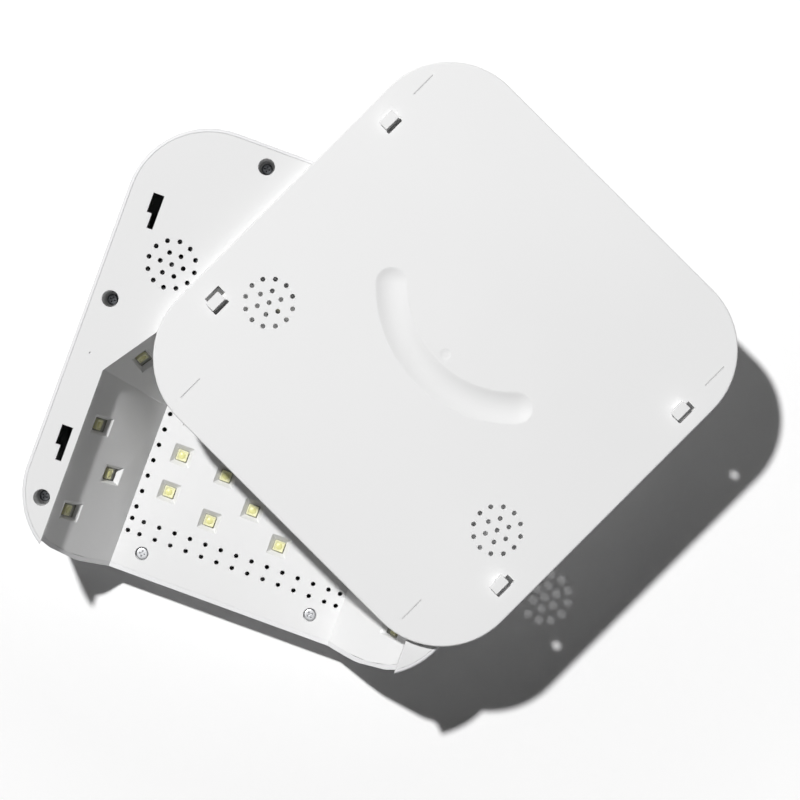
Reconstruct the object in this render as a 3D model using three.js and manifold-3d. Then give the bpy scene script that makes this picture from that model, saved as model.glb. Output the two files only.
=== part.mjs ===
// A cordless nail lamp, lying on its top with the underside up, and its loose base tray lying across it.
// Millimetres. x runs to the lamp's right, y to its rear and z up from the surface that the top lies on.
// The origin is the centre of the footprint, on that surface.
import * as THREE from "three";
import { mergeVertices } from "three/addons/utils/BufferGeometryUtils.js";
import Module from "manifold-3d";

const wasm = await Module();
wasm.setup();

// Driving sizes of the lamp
const lampWidth = 216;
const lampDepth = 222;
const lampHeight = 92;
const cornerRadius = 40;
const clearance = 0.3;
const overrun = 3;
const cornerStepCount = 6;
const smallCornerStepCount = 3;
const roundSideCount = 16;
const innerSideCount = 12;
const smallSideCount = 8;
const hiddenSideCount = 6;
const pinholeSideCount = 6;

// Outer shell
const shellWall = 2.2;
const topWall = 2.6;
const crownHeight = 16;
const crownRun = 17;
const draftRun = 1.2;
const rimWall = 1.6;
const crownStepCount = 5;

// Underside plate
const plateThickness = 2.4;
const grilleAlong = 17.7;
const grilleHoleRadius = 1.15;
const grilleInnerRing = 5.75;
const grilleOuterRing = 11.45;
const grilleRings = [
  { radius: grilleInnerRing, count: 6, turn: Math.PI / 6 },
  { radius: grilleOuterRing, count: 12, turn: 0 },
];
const rearScrewShare = { across: 0.46, along: 0.905 };
const armScrewShares = [
  { across: 0.439, along: 0.148 },
  { across: 0.339, along: -0.75 },
];
const wellRadius = 3.95;
const wellWall = 1.2;
const wellDepth = 18;
const wellFloor = 1.6;

// Slots that take the tray's hooks
const slotWideWidth = 5.3;
const slotWideLength = 9.6;
const slotNarrowWidth = 2.8;
const slotNarrowLength = 7.2;
const slotShares = [
  { across: 0.022, along: 0.486 },
  { across: 0.189, along: -0.577 },
];

// Hand cavity, open to the front, with five walls that lean in towards the ceiling
const armWidth = 18;
const rearDepth = 65;
const cornerWallDepth = 62.5;
const ceilingHeight = 26;
const wallRun = 33.1;
const cornerWallRunShare = 0.97;
const cornerWallAngle = THREE.MathUtils.degToRad(55.3);
const linerWall = 2.6;
const panelThickness = 2.6;
const panelLap = 3;
const panelPostX = 30.5;
const panelPostY = 3;
const panelPostRadius = 2.2;

// Lamp chips, their boards and their windows
const chipSize = 5.2;
const chipHeight = 1.6;
const chipEdge = 0.4;
const chipPlay = 0.5;
const boardThickness = 1.2;
const windowFlare = 1.45;
const windowDraft = 0.3;
const windowLowerTaper = 2.4;
const highWindowShare = 0.2;
const lowWindowShare = 0.55;
const ceilingChipShares = [
  { across: 0.747, along: [0.314, 0.47, 0.626] },
  { across: 0.325, along: [0.104, 0.296, 0.488, 0.68] },
  { across: 0, along: [0.197, 0.389, 0.581] },
];
const ceilingBoardMargin = 7.5;
const ceilingBoardInset = 6;
const sideChipShares = [0.255, 0.721];
const cornerChipPitchShare = 0.537;
const rearChipPitchShare = 0.471;
const wallBoardMargin = 6;
const wallBoardChamferShare = 0.25;

// Air holes in the ceiling
const airHoleRadius = 1;
const airEdge = 1.6;
const airEndPitch = 6.15;
const airRowCount = 2;
const airRowHalfCount = 6;
const airRowFront = 22;
const airRowPitch = 6.4;

// Screws
const screwShankRadius = 1.3;
const caseHeadRadius = 2.7;
const caseHeadHeight = 2;
const caseShankLength = 12;
const ceilingScrewX = 44.7;
const ceilingScrewFront = 12.8;
const ceilingHeadRadius = 3;
const ceilingHeadHeight = 1.1;
const ceilingShankLength = 10;
const headSunk = 0.2;
const ceilingCounterbore = 3.35;
const boardHeadRadius = 2;
const boardHeadHeight = 1.2;
const boardShankLength = 6;
const bossWall = 2;
const slotOfHead = 0.8;

// Controls in the top
const controlWidth = 104;
const controlDepth = 58;
const controlRadius = 8;
const controlSunk = 0.8;
const controlY = -35;
const buttonRadius = 5.2;
const buttonPitch = 19;
const buttonForward = 15;
const buttonNames = ["timer_button_1", "timer_button_2", "timer_button_3", "power_button"];
const buttonFlange = 1.4;
const buttonFlangeThickness = 1;
const buttonStemRadius = 1.5;
const buttonTravel = 0.5;
const plungerReach = 0.6;
const switchSize = 6;
const switchHeight = 3.5;
const displayWidth = 36;
const displayDepth = 17;
const displayBack = 13;
const displayFlange = 2;
const displayFlangeThickness = 1.2;
const mainBoardHeight = 9.4;
const mainBoardWidth = 112;
const mainBoardDepth = 52;
const mainBoardThickness = 1.6;
const mainBoardCorner = 4;
const boardStepCount = 8;
const capRadiusShare = 0.33;
const capHeightShare = 0.75;
const controllerHeightShare = 0.17;
const coilHeightShare = 0.5;
const connectorHeightShare = 0.67;

// Battery cells and their cradle
const cellRadius = 9.2;
const cellLength = 65;
const cellGap = 1.2;
const cellCount = 4;
const cradleWall = 1.6;
const cradleHeight = 13;
const cradleGap = 0.6;
const cellCapRadius = 2.9;
const cellCapHeight = 1;

// Charging socket in the rear wall
const socketHeight = 48;
const socketBarrel = 3.9;
const socketFlange = 6;
const socketFlangeThickness = 1.5;
const socketBody = 5;
const socketBodyLength = 12;
const socketBore = 2.75;
const socketBoreDepth = 9;
const socketPin = 1;

// Fans behind the grilles
const fanSize = 25;
const fanThickness = 7;
const fanCorner = 2;
const fanMargin = 1.3;
const fanWall = 0.8;
const fanPostInset = 2.5;
const fanPostRadius = 1.1;
const fanMotorRadius = 5.8;
const fanSpoke = 1.6;
const fanSpokeCount = 3;
const fanHubRadius = 5.5;
const fanBladeCount = 7;
const fanBladeThickness = 0.8;
const fanBladeGap = 0.5;
const fanBladePitch = THREE.MathUtils.degToRad(38);
const fanShaftRadius = 1;

// Base tray, with its inner side up
const trayThickness = 2.4;
const trayRimHeight = 5.2;
const trayRimWall = 2;
const trayX = 60.1;
const trayY = 46.1;
const trayTurn = THREE.MathUtils.degToRad(-24.9);
const trayEdge = 0.8;
const hookShares = [
  { across: 0.873, along: 0.532 },
  { across: 0.849, along: -0.532 },
];
const hookLength = 8.3;
const hookNeck = 2;
const hookNeckLength = 5.8;
const hookReach = 5.1;
const hookHead = 1.2;
const hookPlay = 0.4;
const hookOpening = 6.9;
const hookStubLength = 1.75;
const hookStubWidth = 4;
const hookReliefWidth = 2;
const hookReliefLength = 8.9;
const hookReliefGap = 0.5;
const footCornerShares = [
  { end: 1, across: 0.73, along: 0.288 },
  { end: -1, across: 0.145, along: 0.635 },
];
const footLength = 14;
const footWidth = 6;
const footProud = 0.2;
const footSlotLength = 12.7;
const footSlotWidth = 1.2;
const footRibSunk = 0.5;
const grooveRadius = 57.9;
const grooveApex = -12.1;
const grooveHalfWidth = 7.25;
const grooveDepth = 1.5;
const grooveHalfAngle = THREE.MathUtils.degToRad(46.3);
const grooveBacking = 1.2;
const grooveStepCount = 18;
const grooveSectionStepCount = 3;

// Sizes that follow from those above
const mouthHalfWidth = lampWidth / 2 - armWidth;
const mouthRearY = lampDepth / 2 - rearDepth;
const mouthCornerY = mouthRearY - cornerWallDepth;
const sideWallLength = mouthCornerY + lampDepth / 2;
const cornerWallLength = cornerWallDepth / Math.sin(cornerWallAngle);
const mouthRearHalf = mouthHalfWidth - cornerWallDepth / Math.tan(cornerWallAngle);
const ceilingHalfWidth = mouthHalfWidth - wallRun;
const windowHole = chipSize + 2 * chipPlay;
const windowMouth = windowHole + 2 * windowFlare;
const buttonY = controlY - buttonForward;
const displayY = controlY + displayBack;
const cellPitch = 2 * cellRadius + cellGap;
const fanBore = fanSize / 2 - fanWall;
const fanPostPitch = fanSize - 2 * fanPostInset;
const plateBottom = lampHeight - plateThickness;
const linerTop = plateBottom - clearance;
const panelBottom = ceilingHeight - panelThickness;
const wellBottom = lampHeight - wellDepth - wellFloor;
const cavityDepth = lampHeight - ceilingHeight;
const wallLean = Math.atan2(cavityDepth, wallRun);
const cornerWallLean = Math.atan2(cavityDepth, wallRun * cornerWallRunShare);
const buttonFace = controlSunk;
const flangeBottom = topWall + clearance;
const switchBottom = mainBoardHeight - switchHeight;

// Materials
function plastic(color, roughness) {
  return new THREE.MeshStandardMaterial({ color, roughness, metalness: 0 });
}

function metal(color, roughness) {
  return new THREE.MeshStandardMaterial({ color, roughness, metalness: 1 });
}

const shellWhite = plastic(0xe9eaeb, 0.4);
const linerWhite = plastic(0xecedee, 0.45);
const trayWhite = plastic(0xeeeeef, 0.42);
const boardWhite = plastic(0xe6e6dc, 0.5);
const boardGreen = plastic(0x1f5a38, 0.5);
const darkPlastic = plastic(0x1c1d20, 0.5);
const smokedPlastic = plastic(0x15161a, 0.15);
const cellWrap = plastic(0x2b6fa8, 0.35);
const rubber = plastic(0x4a4b4d, 0.85);
const steel = metal(0xa9adb0, 0.35);

// Solids from three.js geometry
const mergeTolerance = 1e-4;

function solid(geometry) {
  geometry.deleteAttribute("normal");
  geometry.deleteAttribute("uv");
  const merged = mergeVertices(geometry, mergeTolerance);
  return new wasm.Manifold(
    new wasm.Mesh({
      numProp: 3,
      vertProperties: merged.attributes.position.array,
      triVerts: new Uint32Array(merged.index.array),
    }),
  );
}

function geometryOf(body) {
  const mesh = body.getMesh();
  const geometry = new THREE.BufferGeometry();
  geometry.setAttribute("position", new THREE.BufferAttribute(mesh.vertProperties, mesh.numProp));
  geometry.setIndex(new THREE.BufferAttribute(mesh.triVerts, 1));
  geometry.computeVertexNormals();
  return geometry;
}

function join(solids) {
  return solids.reduce((whole, piece) => whole.add(piece));
}

function cut(body, cutters) {
  return cutters.reduce((rest, cutter) => rest.subtract(cutter), body);
}

function prism(points, bottom, top) {
  const shape = new THREE.Shape(points);
  const geometry = new THREE.ExtrudeGeometry(shape, { depth: top - bottom, bevelEnabled: false });
  return solid(geometry.translate(0, 0, bottom));
}

function box(width, depth, bottom, top, x, y) {
  const geometry = new THREE.BoxGeometry(width, depth, top - bottom);
  return solid(geometry.translate(x, y, (top + bottom) / 2));
}

function cylinder(radius, bottom, top, x, y, sides = roundSideCount) {
  const geometry = new THREE.CylinderGeometry(radius, radius, top - bottom, sides);
  return solid(geometry.rotateX(Math.PI / 2).translate(x, y, (top + bottom) / 2));
}

// A round piece along y, for what passes through the rear wall or lies from front to rear
function lyingCylinder(radius, front, rear, x, z, sides = roundSideCount) {
  const geometry = new THREE.CylinderGeometry(radius, radius, rear - front, sides);
  return solid(geometry.translate(x, (rear + front) / 2, z));
}

function lathe(profile, sides = roundSideCount) {
  const points = profile.map(([radius, height]) => new THREE.Vector2(radius, height));
  return solid(new THREE.LatheGeometry(points, sides).rotateX(Math.PI / 2));
}

// A skin over outlines with equally many points, one above the other
function loft(levels) {
  const count = levels[0].outline.length;
  const positions = levels.flatMap(({ z, outline }) => outline.flatMap(({ x, y }) => [x, y, z]));
  const index = [];
  for (let row = 0; row + 1 < levels.length; row++) {
    for (let i = 0; i < count; i++) {
      const here = row * count + i;
      const next = row * count + ((i + 1) % count);
      index.push(here, next, next + count, here, next + count, here + count);
    }
  }
  const last = (levels.length - 1) * count;
  for (const [a, b, c] of THREE.ShapeUtils.triangulateShape(levels[0].outline, [])) {
    index.push(c, b, a, last + a, last + b, last + c);
  }
  const geometry = new THREE.BufferGeometry();
  geometry.setAttribute("position", new THREE.Float32BufferAttribute(positions, 3));
  geometry.setIndex(index);
  return solid(geometry);
}

function roundedOutline(width, depth, radius, x = 0, y = 0, stepCount = smallCornerStepCount) {
  const points = [];
  const signs = [[1, 1], [-1, 1], [-1, -1], [1, -1]];
  signs.forEach(([alongX, alongY], quarter) => {
    for (let step = 0; step <= stepCount; step++) {
      const angle = ((quarter + step / stepCount) * Math.PI) / 2;
      points.push(
        new THREE.Vector2(
          x + alongX * (width / 2 - radius) + radius * Math.cos(angle),
          y + alongY * (depth / 2 - radius) + radius * Math.sin(angle),
        ),
      );
    }
  });
  return points;
}

function footprint(inset) {
  const width = lampWidth - 2 * inset;
  const depth = lampDepth - 2 * inset;
  return roundedOutline(width, depth, cornerRadius - inset, 0, 0, cornerStepCount);
}

// Shell form: a rounded crown at the bottom, then walls that lean out a little up to the rim
function shellForm(floor, wall, top) {
  const levels = [];
  for (let step = 0; step <= crownStepCount; step++) {
    const angle = ((step / crownStepCount) * Math.PI) / 2;
    levels.push({
      z: crownHeight - (crownHeight - floor) * Math.cos(angle),
      outline: footprint(wall + draftRun + crownRun * (1 - Math.sin(angle))),
    });
  }
  levels.push({ z: top, outline: footprint(wall) });
  return loft(levels);
}

// How far a leaning wall stands in from the mouth's edge at a height
function leanAt(z) {
  return (wallRun * (lampHeight - z)) / cavityDepth;
}

function cavityCorners(inset) {
  const cornerShift = (Math.sin(cornerWallAngle) - cornerWallRunShare) / Math.cos(cornerWallAngle);
  const rearShift = (cornerWallRunShare - Math.cos(cornerWallAngle)) / Math.sin(cornerWallAngle);
  return {
    side: new THREE.Vector2(mouthHalfWidth - inset, mouthCornerY + cornerShift * inset),
    rear: new THREE.Vector2(mouthRearHalf - rearShift * inset, mouthRearY - inset),
  };
}

function cavityOutline(inset) {
  const { side, rear } = cavityCorners(inset);
  const front = -lampDepth / 2 - overrun;
  return [
    new THREE.Vector2(-side.x, front),
    new THREE.Vector2(side.x, front),
    side,
    rear,
    new THREE.Vector2(-rear.x, rear.y),
    new THREE.Vector2(-side.x, side.y),
  ];
}

function cavityForm(bottom, top, inset) {
  return loft([bottom, top].map((z) => ({ z, outline: cavityOutline(leanAt(z) + inset) })));
}

function mirrored(places) {
  return places.flatMap(({ x, y }) => [{ x: -x, y }, { x, y }]);
}

// Places by their shares of the half width and half depth
function footprintPlaces(shares) {
  return shares.map(({ across, along }) => ({
    x: (across * lampWidth) / 2,
    y: (along * lampDepth) / 2,
  }));
}

// Places by their shares of an arm's width, from the mouth outwards, and of the half depth
function armPlaces(shares) {
  return shares.map(({ across, along }) => ({
    x: mouthHalfWidth + across * armWidth,
    y: (along * lampDepth) / 2,
  }));
}

function caseScrewPlaces() {
  return mirrored([...footprintPlaces([rearScrewShare]), ...armPlaces(armScrewShares)]);
}

// Leaning walls: x along the wall, y down its slope and z out of it into the cavity
function wallFrame(edgePoint, inward, lean) {
  const down = new THREE.Vector3(
    inward.x * Math.cos(lean),
    inward.y * Math.cos(lean),
    -Math.sin(lean),
  );
  const out = new THREE.Vector3(
    inward.x * Math.sin(lean),
    inward.y * Math.sin(lean),
    Math.cos(lean),
  );
  const along = new THREE.Vector3().crossVectors(down, out);
  const frame = new THREE.Matrix4().makeBasis(along, down, out);
  return frame.setPosition(edgePoint.x, edgePoint.y, lampHeight);
}

function cornerWallMiddle() {
  const { side, rear } = cavityCorners(0);
  return new THREE.Vector2().addVectors(side, rear).multiplyScalar(1 / 2);
}

function cornerWallFrame(side) {
  const middle = cornerWallMiddle();
  const inward = new THREE.Vector2(-Math.sin(cornerWallAngle), -Math.cos(cornerWallAngle));
  return wallFrame(
    new THREE.Vector2(side * middle.x, middle.y),
    new THREE.Vector2(side * inward.x, inward.y),
    cornerWallLean,
  );
}

// The chip places on one wall: two high up and one lower between them
function chipWall(frame, lean, middle, pitch) {
  const places = [
    { along: middle - pitch / 2, share: highWindowShare },
    { along: middle + pitch / 2, share: highWindowShare },
    { along: middle, share: lowWindowShare },
  ];
  return { frame, lean, places };
}

function sideWall(side) {
  const edge = new THREE.Vector2(side * mouthHalfWidth, 0);
  const frame = wallFrame(edge, new THREE.Vector2(-side, 0), wallLean);
  const [front, rear] = sideChipShares.map((share) => share * sideWallLength - lampDepth / 2);
  return chipWall(frame, wallLean, (side * (front + rear)) / 2, rear - front);
}

function rearWall() {
  const edge = new THREE.Vector2(0, mouthRearY);
  const frame = wallFrame(edge, new THREE.Vector2(0, -1), wallLean);
  return chipWall(frame, wallLean, 0, rearChipPitchShare * 2 * mouthRearHalf);
}

function cornerWall(side) {
  return chipWall(cornerWallFrame(side), cornerWallLean, 0, cornerChipPitchShare * cornerWallLength);
}

const leaningWalls = {
  left_led_board: sideWall(-1),
  right_led_board: sideWall(1),
  left_corner_led_board: cornerWall(-1),
  right_corner_led_board: cornerWall(1),
  rear_led_board: rearWall(),
};

// A window's upper face drops straight down from the wall's surface, so its mouth is long and its
// hole lies low in it. These are its lengths down the slope, from the upper edge of the mouth.
function windowSlope(lean) {
  const holeStart = linerWall * Math.tan(lean) + windowDraft;
  const holeEnd = holeStart + windowHole;
  return { holeStart, holeEnd, mouth: holeEnd + windowLowerTaper };
}

function windowStart(share, lean) {
  return (share * cavityDepth) / Math.sin(lean) - windowSlope(lean).mouth / 2;
}

function rectangleOutline(width, start, end, x) {
  return [
    new THREE.Vector2(x - width / 2, start),
    new THREE.Vector2(x + width / 2, start),
    new THREE.Vector2(x + width / 2, end),
    new THREE.Vector2(x - width / 2, end),
  ];
}

// The taper goes on past both faces, so the cutter leaves no skin
function wallWindow({ along, share }, lean) {
  const slope = windowSlope(lean);
  const start = windowStart(share, lean);
  const past = clearance / linerWall;
  function level(depthShare) {
    return {
      z: -linerWall * depthShare,
      outline: rectangleOutline(
        windowMouth + (windowHole - windowMouth) * depthShare,
        start + slope.holeStart * depthShare,
        start + slope.mouth + (slope.holeEnd - slope.mouth) * depthShare,
        along,
      ),
    };
  }
  return loft([level(1 + past), level(-past)]);
}

function chip(x, y, base) {
  const half = chipSize / 2 - chipEdge;
  const shape = new THREE.Shape(rectangleOutline(2 * half, y - half, y + half, x));
  const geometry = new THREE.ExtrudeGeometry(shape, {
    depth: chipHeight,
    bevelThickness: chipEdge,
    bevelSize: chipEdge,
    bevelSegments: 1,
  });
  return solid(geometry.translate(0, 0, base - chipEdge));
}

// Outer shell
function buildOuterShell() {
  const outside = shellForm(0, 0, lampHeight);
  const inside = shellForm(topWall, shellWall, plateBottom);
  const rebate = prism(footprint(rimWall), plateBottom - clearance, lampHeight + overrun);
  const opening = cavityForm(ceilingHeight, lampHeight + overrun, 0);
  const walls = cut(outside, [inside, rebate, opening]);
  const bosses = join(shellBosses()).intersect(outside);
  return cut(walls.add(bosses), [...pilotHoles(), ...controlOpenings(), socketOpening()]);
}

function bossRadius() {
  return screwShankRadius + clearance + bossWall;
}

function shellBosses() {
  return [
    ...caseScrewPlaces().map(({ x, y }) =>
      cylinder(bossRadius(), topWall / 2, wellBottom - clearance, x, y, hiddenSideCount),
    ),
    ...ceilingScrewPlaces().map(({ x, y }) =>
      cylinder(bossRadius(), topWall / 2, panelBottom - clearance, x, y, hiddenSideCount),
    ),
    ...boardScrewPlaces().map(({ x, y }) =>
      cylinder(bossRadius(), topWall / 2, mainBoardHeight - clearance, x, y, hiddenSideCount),
    ),
    ...panelPostPlaces().map(({ x, y }) =>
      cylinder(panelPostRadius, topWall / 2, panelBottom - clearance, x, y, hiddenSideCount),
    ),
  ];
}

function pilotHoles() {
  const radius = screwShankRadius + clearance;
  return [
    ...caseScrewPlaces().map(({ x, y }) =>
      cylinder(radius, wellBottom - caseShankLength, wellBottom + overrun, x, y, pinholeSideCount),
    ),
    ...ceilingScrewPlaces().map(({ x, y }) =>
      cylinder(radius, panelBottom - ceilingShankLength, panelBottom + overrun, x, y, pinholeSideCount),
    ),
    ...boardScrewPlaces().map(({ x, y }) =>
      cylinder(radius, mainBoardHeight - boardShankLength, mainBoardHeight, x, y, pinholeSideCount),
    ),
  ];
}

function ceilingScrewPlaces() {
  return mirrored([{ x: ceilingScrewX, y: ceilingScrewFront - lampDepth / 2 }]);
}

function panelPostPlaces() {
  return mirrored([{ x: panelPostX, y: panelPostY }]);
}

function boardScrewPlaces() {
  const x = mainBoardWidth / 2 - mainBoardCorner;
  const y = mainBoardDepth / 2 - mainBoardCorner;
  return mirrored([{ x, y: controlY - y }, { x, y: controlY + y }]);
}

function controlOpenings() {
  const radius = buttonRadius + clearance;
  const sunk = roundedOutline(controlWidth, controlDepth, controlRadius, 0, controlY);
  const window = roundedOutline(displayWidth, displayDepth, displayFlange, 0, displayY);
  return [
    prism(sunk, -overrun, controlSunk),
    prism(window, -overrun, topWall + overrun),
    ...buttonXs().map((x) => cylinder(radius, -overrun, topWall + overrun, x, buttonY)),
  ];
}

function buttonXs() {
  return buttonNames.map((_, i) => (i - (buttonNames.length - 1) / 2) * buttonPitch);
}

function socketOpening() {
  const rear = lampDepth / 2;
  return lyingCylinder(socketBarrel + clearance, rear - socketBodyLength, rear + overrun, 0, socketHeight);
}

// Underside plate
function buildBottomPlate() {
  const outline = footprint(rimWall + clearance);
  const sheet = prism(outline, plateBottom, lampHeight);
  const mouth = cavityForm(plateBottom - overrun, lampHeight + overrun, 0);
  const plate = cut(sheet, [mouth, ...hookSlots(), ...grilleHoles(plateBottom, lampHeight, 1)]);
  return cut(join([plate, ...wells(), ...fanPosts()]), wellBores());
}

function wells() {
  return caseScrewPlaces().map(({ x, y }) =>
    cylinder(wellRadius + wellWall, wellBottom, plateBottom + clearance, x, y, innerSideCount),
  );
}

function wellBores() {
  return caseScrewPlaces().flatMap(({ x, y }) => [
    cylinder(wellRadius, lampHeight - wellDepth, lampHeight + overrun, x, y, innerSideCount),
    cylinder(screwShankRadius + clearance, wellBottom - overrun, lampHeight, x, y, smallSideCount),
  ]);
}

function hookSlots() {
  return armPlaces(slotShares).flatMap(({ x, y }) =>
    [-1, 1].map((side) => {
      const stepY = y + slotNarrowLength;
      const rearY = stepY + slotWideLength;
      const corners = [
        [x, y],
        [x + slotNarrowWidth, y],
        [x + slotNarrowWidth, stepY],
        [x + slotWideWidth, stepY],
        [x + slotWideWidth, rearY],
        [x, rearY],
      ];
      const points = corners.map(([across, along]) => new THREE.Vector2(side * across, along));
      return prism(points, plateBottom - overrun, lampHeight + overrun);
    }),
  );
}

// A grille's centre lies beside the corner wall's upper edge, far enough out for the fan
function grilleCentre() {
  const outward = new THREE.Vector2(Math.sin(cornerWallAngle), Math.cos(cornerWallAngle));
  const along = new THREE.Vector2(-outward.y, outward.x);
  const fanReach = (fanSize / 2) * (outward.x + outward.y);
  const distance = linerWidth() + fanReach + fanMargin;
  return cornerWallMiddle().addScaledVector(outward, distance).addScaledVector(along, grilleAlong);
}

// The tray's front is the lamp's rear, so its grilles lie the other way round
function grilleHoles(bottom, top, way) {
  const centre = grilleCentre();
  const places = [{ x: 0, y: 0 }];
  for (const { radius, count, turn } of grilleRings) {
    for (let i = 0; i < count; i++) {
      const angle = turn + (i / count) * 2 * Math.PI;
      places.push({ x: radius * Math.sin(angle), y: radius * Math.cos(angle) });
    }
  }
  return [-1, 1].flatMap((side) =>
    places.map((place) =>
      cylinder(
        grilleHoleRadius,
        bottom - overrun,
        top + overrun,
        side * centre.x + place.x,
        way * centre.y + place.y,
        pinholeSideCount,
      ),
    ),
  );
}

function fanPosts() {
  const centre = grilleCentre();
  const half = fanPostPitch / 2;
  return [-1, 1].flatMap((side) =>
    [-1, 1].map((end) =>
      cylinder(
        fanPostRadius,
        plateBottom - fanThickness,
        plateBottom + clearance,
        side * centre.x + end * half,
        centre.y + end * half,
        hiddenSideCount,
      ),
    ),
  );
}

// A leaning wall's thickness, measured level
function linerWidth() {
  return linerWall / Math.sin(wallLean);
}

// Reflector liner: the five leaning walls, which end on the ceiling panel's edge
function buildReflectorLiner() {
  const bottom = ceilingHeight + clearance;
  const skin = cavityForm(bottom, linerTop, -linerWidth());
  const hollow = cavityForm(bottom - overrun, linerTop + overrun, 0);
  const room = shellForm(topWall + clearance, shellWall + clearance, lampHeight);
  const windows = Object.values(leaningWalls).flatMap(({ frame, lean, places }) =>
    places.map((place) => wallWindow(place, lean).transform(frame.elements)),
  );
  const wellRoom = caseScrewPlaces().map(({ x, y }) =>
    cylinder(wellRadius + wellWall + clearance, wellBottom - overrun, lampHeight, x, y),
  );
  return cut(skin.intersect(room), [hollow, ...windows, ...wellRoom]);
}

// Ceiling panel
function buildCeilingPanel() {
  const sheet = prism(cavityOutline(wallRun - panelLap), panelBottom, ceilingHeight);
  const room = shellForm(topWall, shellWall + clearance, lampHeight);
  const screwHoles = ceilingScrewPlaces().flatMap(({ x, y }) => [
    cylinder(ceilingCounterbore, ceilingSeat(), ceilingHeight + overrun, x, y),
    cylinder(screwShankRadius + clearance, panelBottom - overrun, ceilingHeight, x, y, smallSideCount),
  ]);
  return cut(sheet.intersect(room), [...ceilingWindows(), ...airHoles(), ...screwHoles]);
}

function ceilingSeat() {
  return ceilingHeight - headSunk - ceilingHeadHeight - clearance;
}

// Columns of chips by their shares of the ceiling's half width, and of its length from the rear
function ceilingChipPlaces() {
  const rear = mouthRearY - wallRun;
  const length = rear + lampDepth / 2;
  return ceilingChipShares.flatMap(({ across, along }) => {
    const column = along.map((share) => ({ x: across * ceilingHalfWidth, y: rear - share * length }));
    return across === 0 ? column : mirrored(column);
  });
}

function ceilingWindows() {
  const past = clearance / panelThickness;
  return ceilingChipPlaces().map(({ x, y }) => {
    function level(depthShare) {
      const size = windowMouth + (windowHole - windowMouth) * depthShare;
      return {
        z: ceilingHeight - panelThickness * depthShare,
        outline: rectangleOutline(size, y - size / 2, y + size / 2, x),
      };
    }
    return loft([level(1 + past), level(-past)]);
  });
}

// Rows across the ceiling's front, and a column up each side as far as the corner walls
function airHolePlaces() {
  const columnX = ceilingHalfWidth - airEdge;
  const pitch = (columnX - airEndPitch) / airRowHalfCount;
  const front = airRowFront - lampDepth / 2;
  const places = [];
  for (let row = 0; row < airRowCount; row++) {
    const y = front + row * airRowPitch;
    for (let i = -airRowHalfCount; i <= airRowHalfCount; i++) places.push({ x: i * pitch, y });
    places.push(...mirrored([{ x: columnX, y }]));
  }
  const columnEnd = cavityCorners(wallRun).side.y;
  for (let y = front + airRowPitch + airEndPitch; y <= columnEnd; y += pitch) {
    places.push(...mirrored([{ x: columnX, y }]));
  }
  return places;
}

function airHoles() {
  return airHolePlaces().map(({ x, y }) =>
    cylinder(airHoleRadius, panelBottom - overrun, ceilingHeight + overrun, x, y, pinholeSideCount),
  );
}

// Boards with their lamp chips
function buildCeilingBoard() {
  const top = panelBottom - clearance;
  const bottom = top - boardThickness;
  const chips = ceilingChipPlaces();
  const halfWidth = Math.max(...chips.map(({ x }) => x)) + ceilingBoardMargin;
  const front = Math.min(...chips.map(({ y }) => y)) - ceilingBoardMargin;
  const { side, rear } = cavityCorners(wallRun + ceilingBoardInset);
  const corners = [
    [halfWidth, front],
    [halfWidth, side.y],
    [rear.x, rear.y],
  ];
  const right = corners.map(([x, y]) => new THREE.Vector2(x, y));
  const left = corners.map(([x, y]) => new THREE.Vector2(-x, y)).reverse();
  const holes = panelPostPlaces().map(({ x, y }) =>
    cylinder(panelPostRadius + clearance, bottom - overrun, top + overrun, x, y, hiddenSideCount),
  );
  const board = cut(prism([...right, ...left], bottom, top), holes);
  return join([board, ...chips.map(({ x, y }) => chip(x, y, top))]);
}

function buildWallBoard({ lean, places }) {
  const top = -linerWall - clearance;
  const { holeStart } = windowSlope(lean);
  const chips = places.map(({ along, share }) => ({
    x: along,
    y: windowStart(share, lean) + holeStart + windowHole / 2,
  }));
  const reach = windowHole / 2 + wallBoardMargin;
  const xs = chips.map(({ x }) => x);
  const ys = chips.map(({ y }) => y);
  const low = new THREE.Vector2(Math.min(...xs) - reach, Math.min(...ys) - windowHole);
  const high = new THREE.Vector2(Math.max(...xs) + reach, Math.max(...ys) + windowHole);
  const chamfer = wallBoardChamferShare * (high.x - low.x);
  const shoulder = low.y + 2 * windowHole;
  const outline = [
    low,
    new THREE.Vector2(high.x, low.y),
    new THREE.Vector2(high.x, shoulder),
    new THREE.Vector2(high.x - chamfer, high.y),
    new THREE.Vector2(low.x + chamfer, high.y),
    new THREE.Vector2(low.x, shoulder),
  ];
  const board = prism(outline, top - boardThickness, top);
  return join([board, ...chips.map(({ x, y }) => chip(x, y, top))]);
}

// Screws, with a cross in the head
function screw(headRadius, headHeight, shankLength) {
  const profile = [
    [0, -shankLength],
    [screwShankRadius, -shankLength + screwShankRadius],
    [screwShankRadius, 0],
    [headRadius, 0],
    [headRadius, headHeight / 2],
    [headRadius - headHeight / 2, headHeight],
    [0, headHeight],
  ];
  const body = lathe(profile, smallSideCount);
  const cross = [
    box(headRadius, slotOfHead, headHeight / 2, headHeight + overrun, 0, 0),
    box(slotOfHead, headRadius, headHeight / 2, headHeight + overrun, 0, 0),
  ];
  return cut(body, cross);
}

// Controls
function buildButton(x) {
  const flangeTop = flangeBottom + buttonFlangeThickness;
  return join([
    cylinder(buttonRadius, buttonFace, flangeTop, x, buttonY),
    cylinder(buttonRadius + buttonFlange, flangeBottom, flangeTop, x, buttonY),
    cylinder(buttonStemRadius, flangeBottom, switchBottom + plungerReach, x, buttonY, smallSideCount),
  ]);
}

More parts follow.
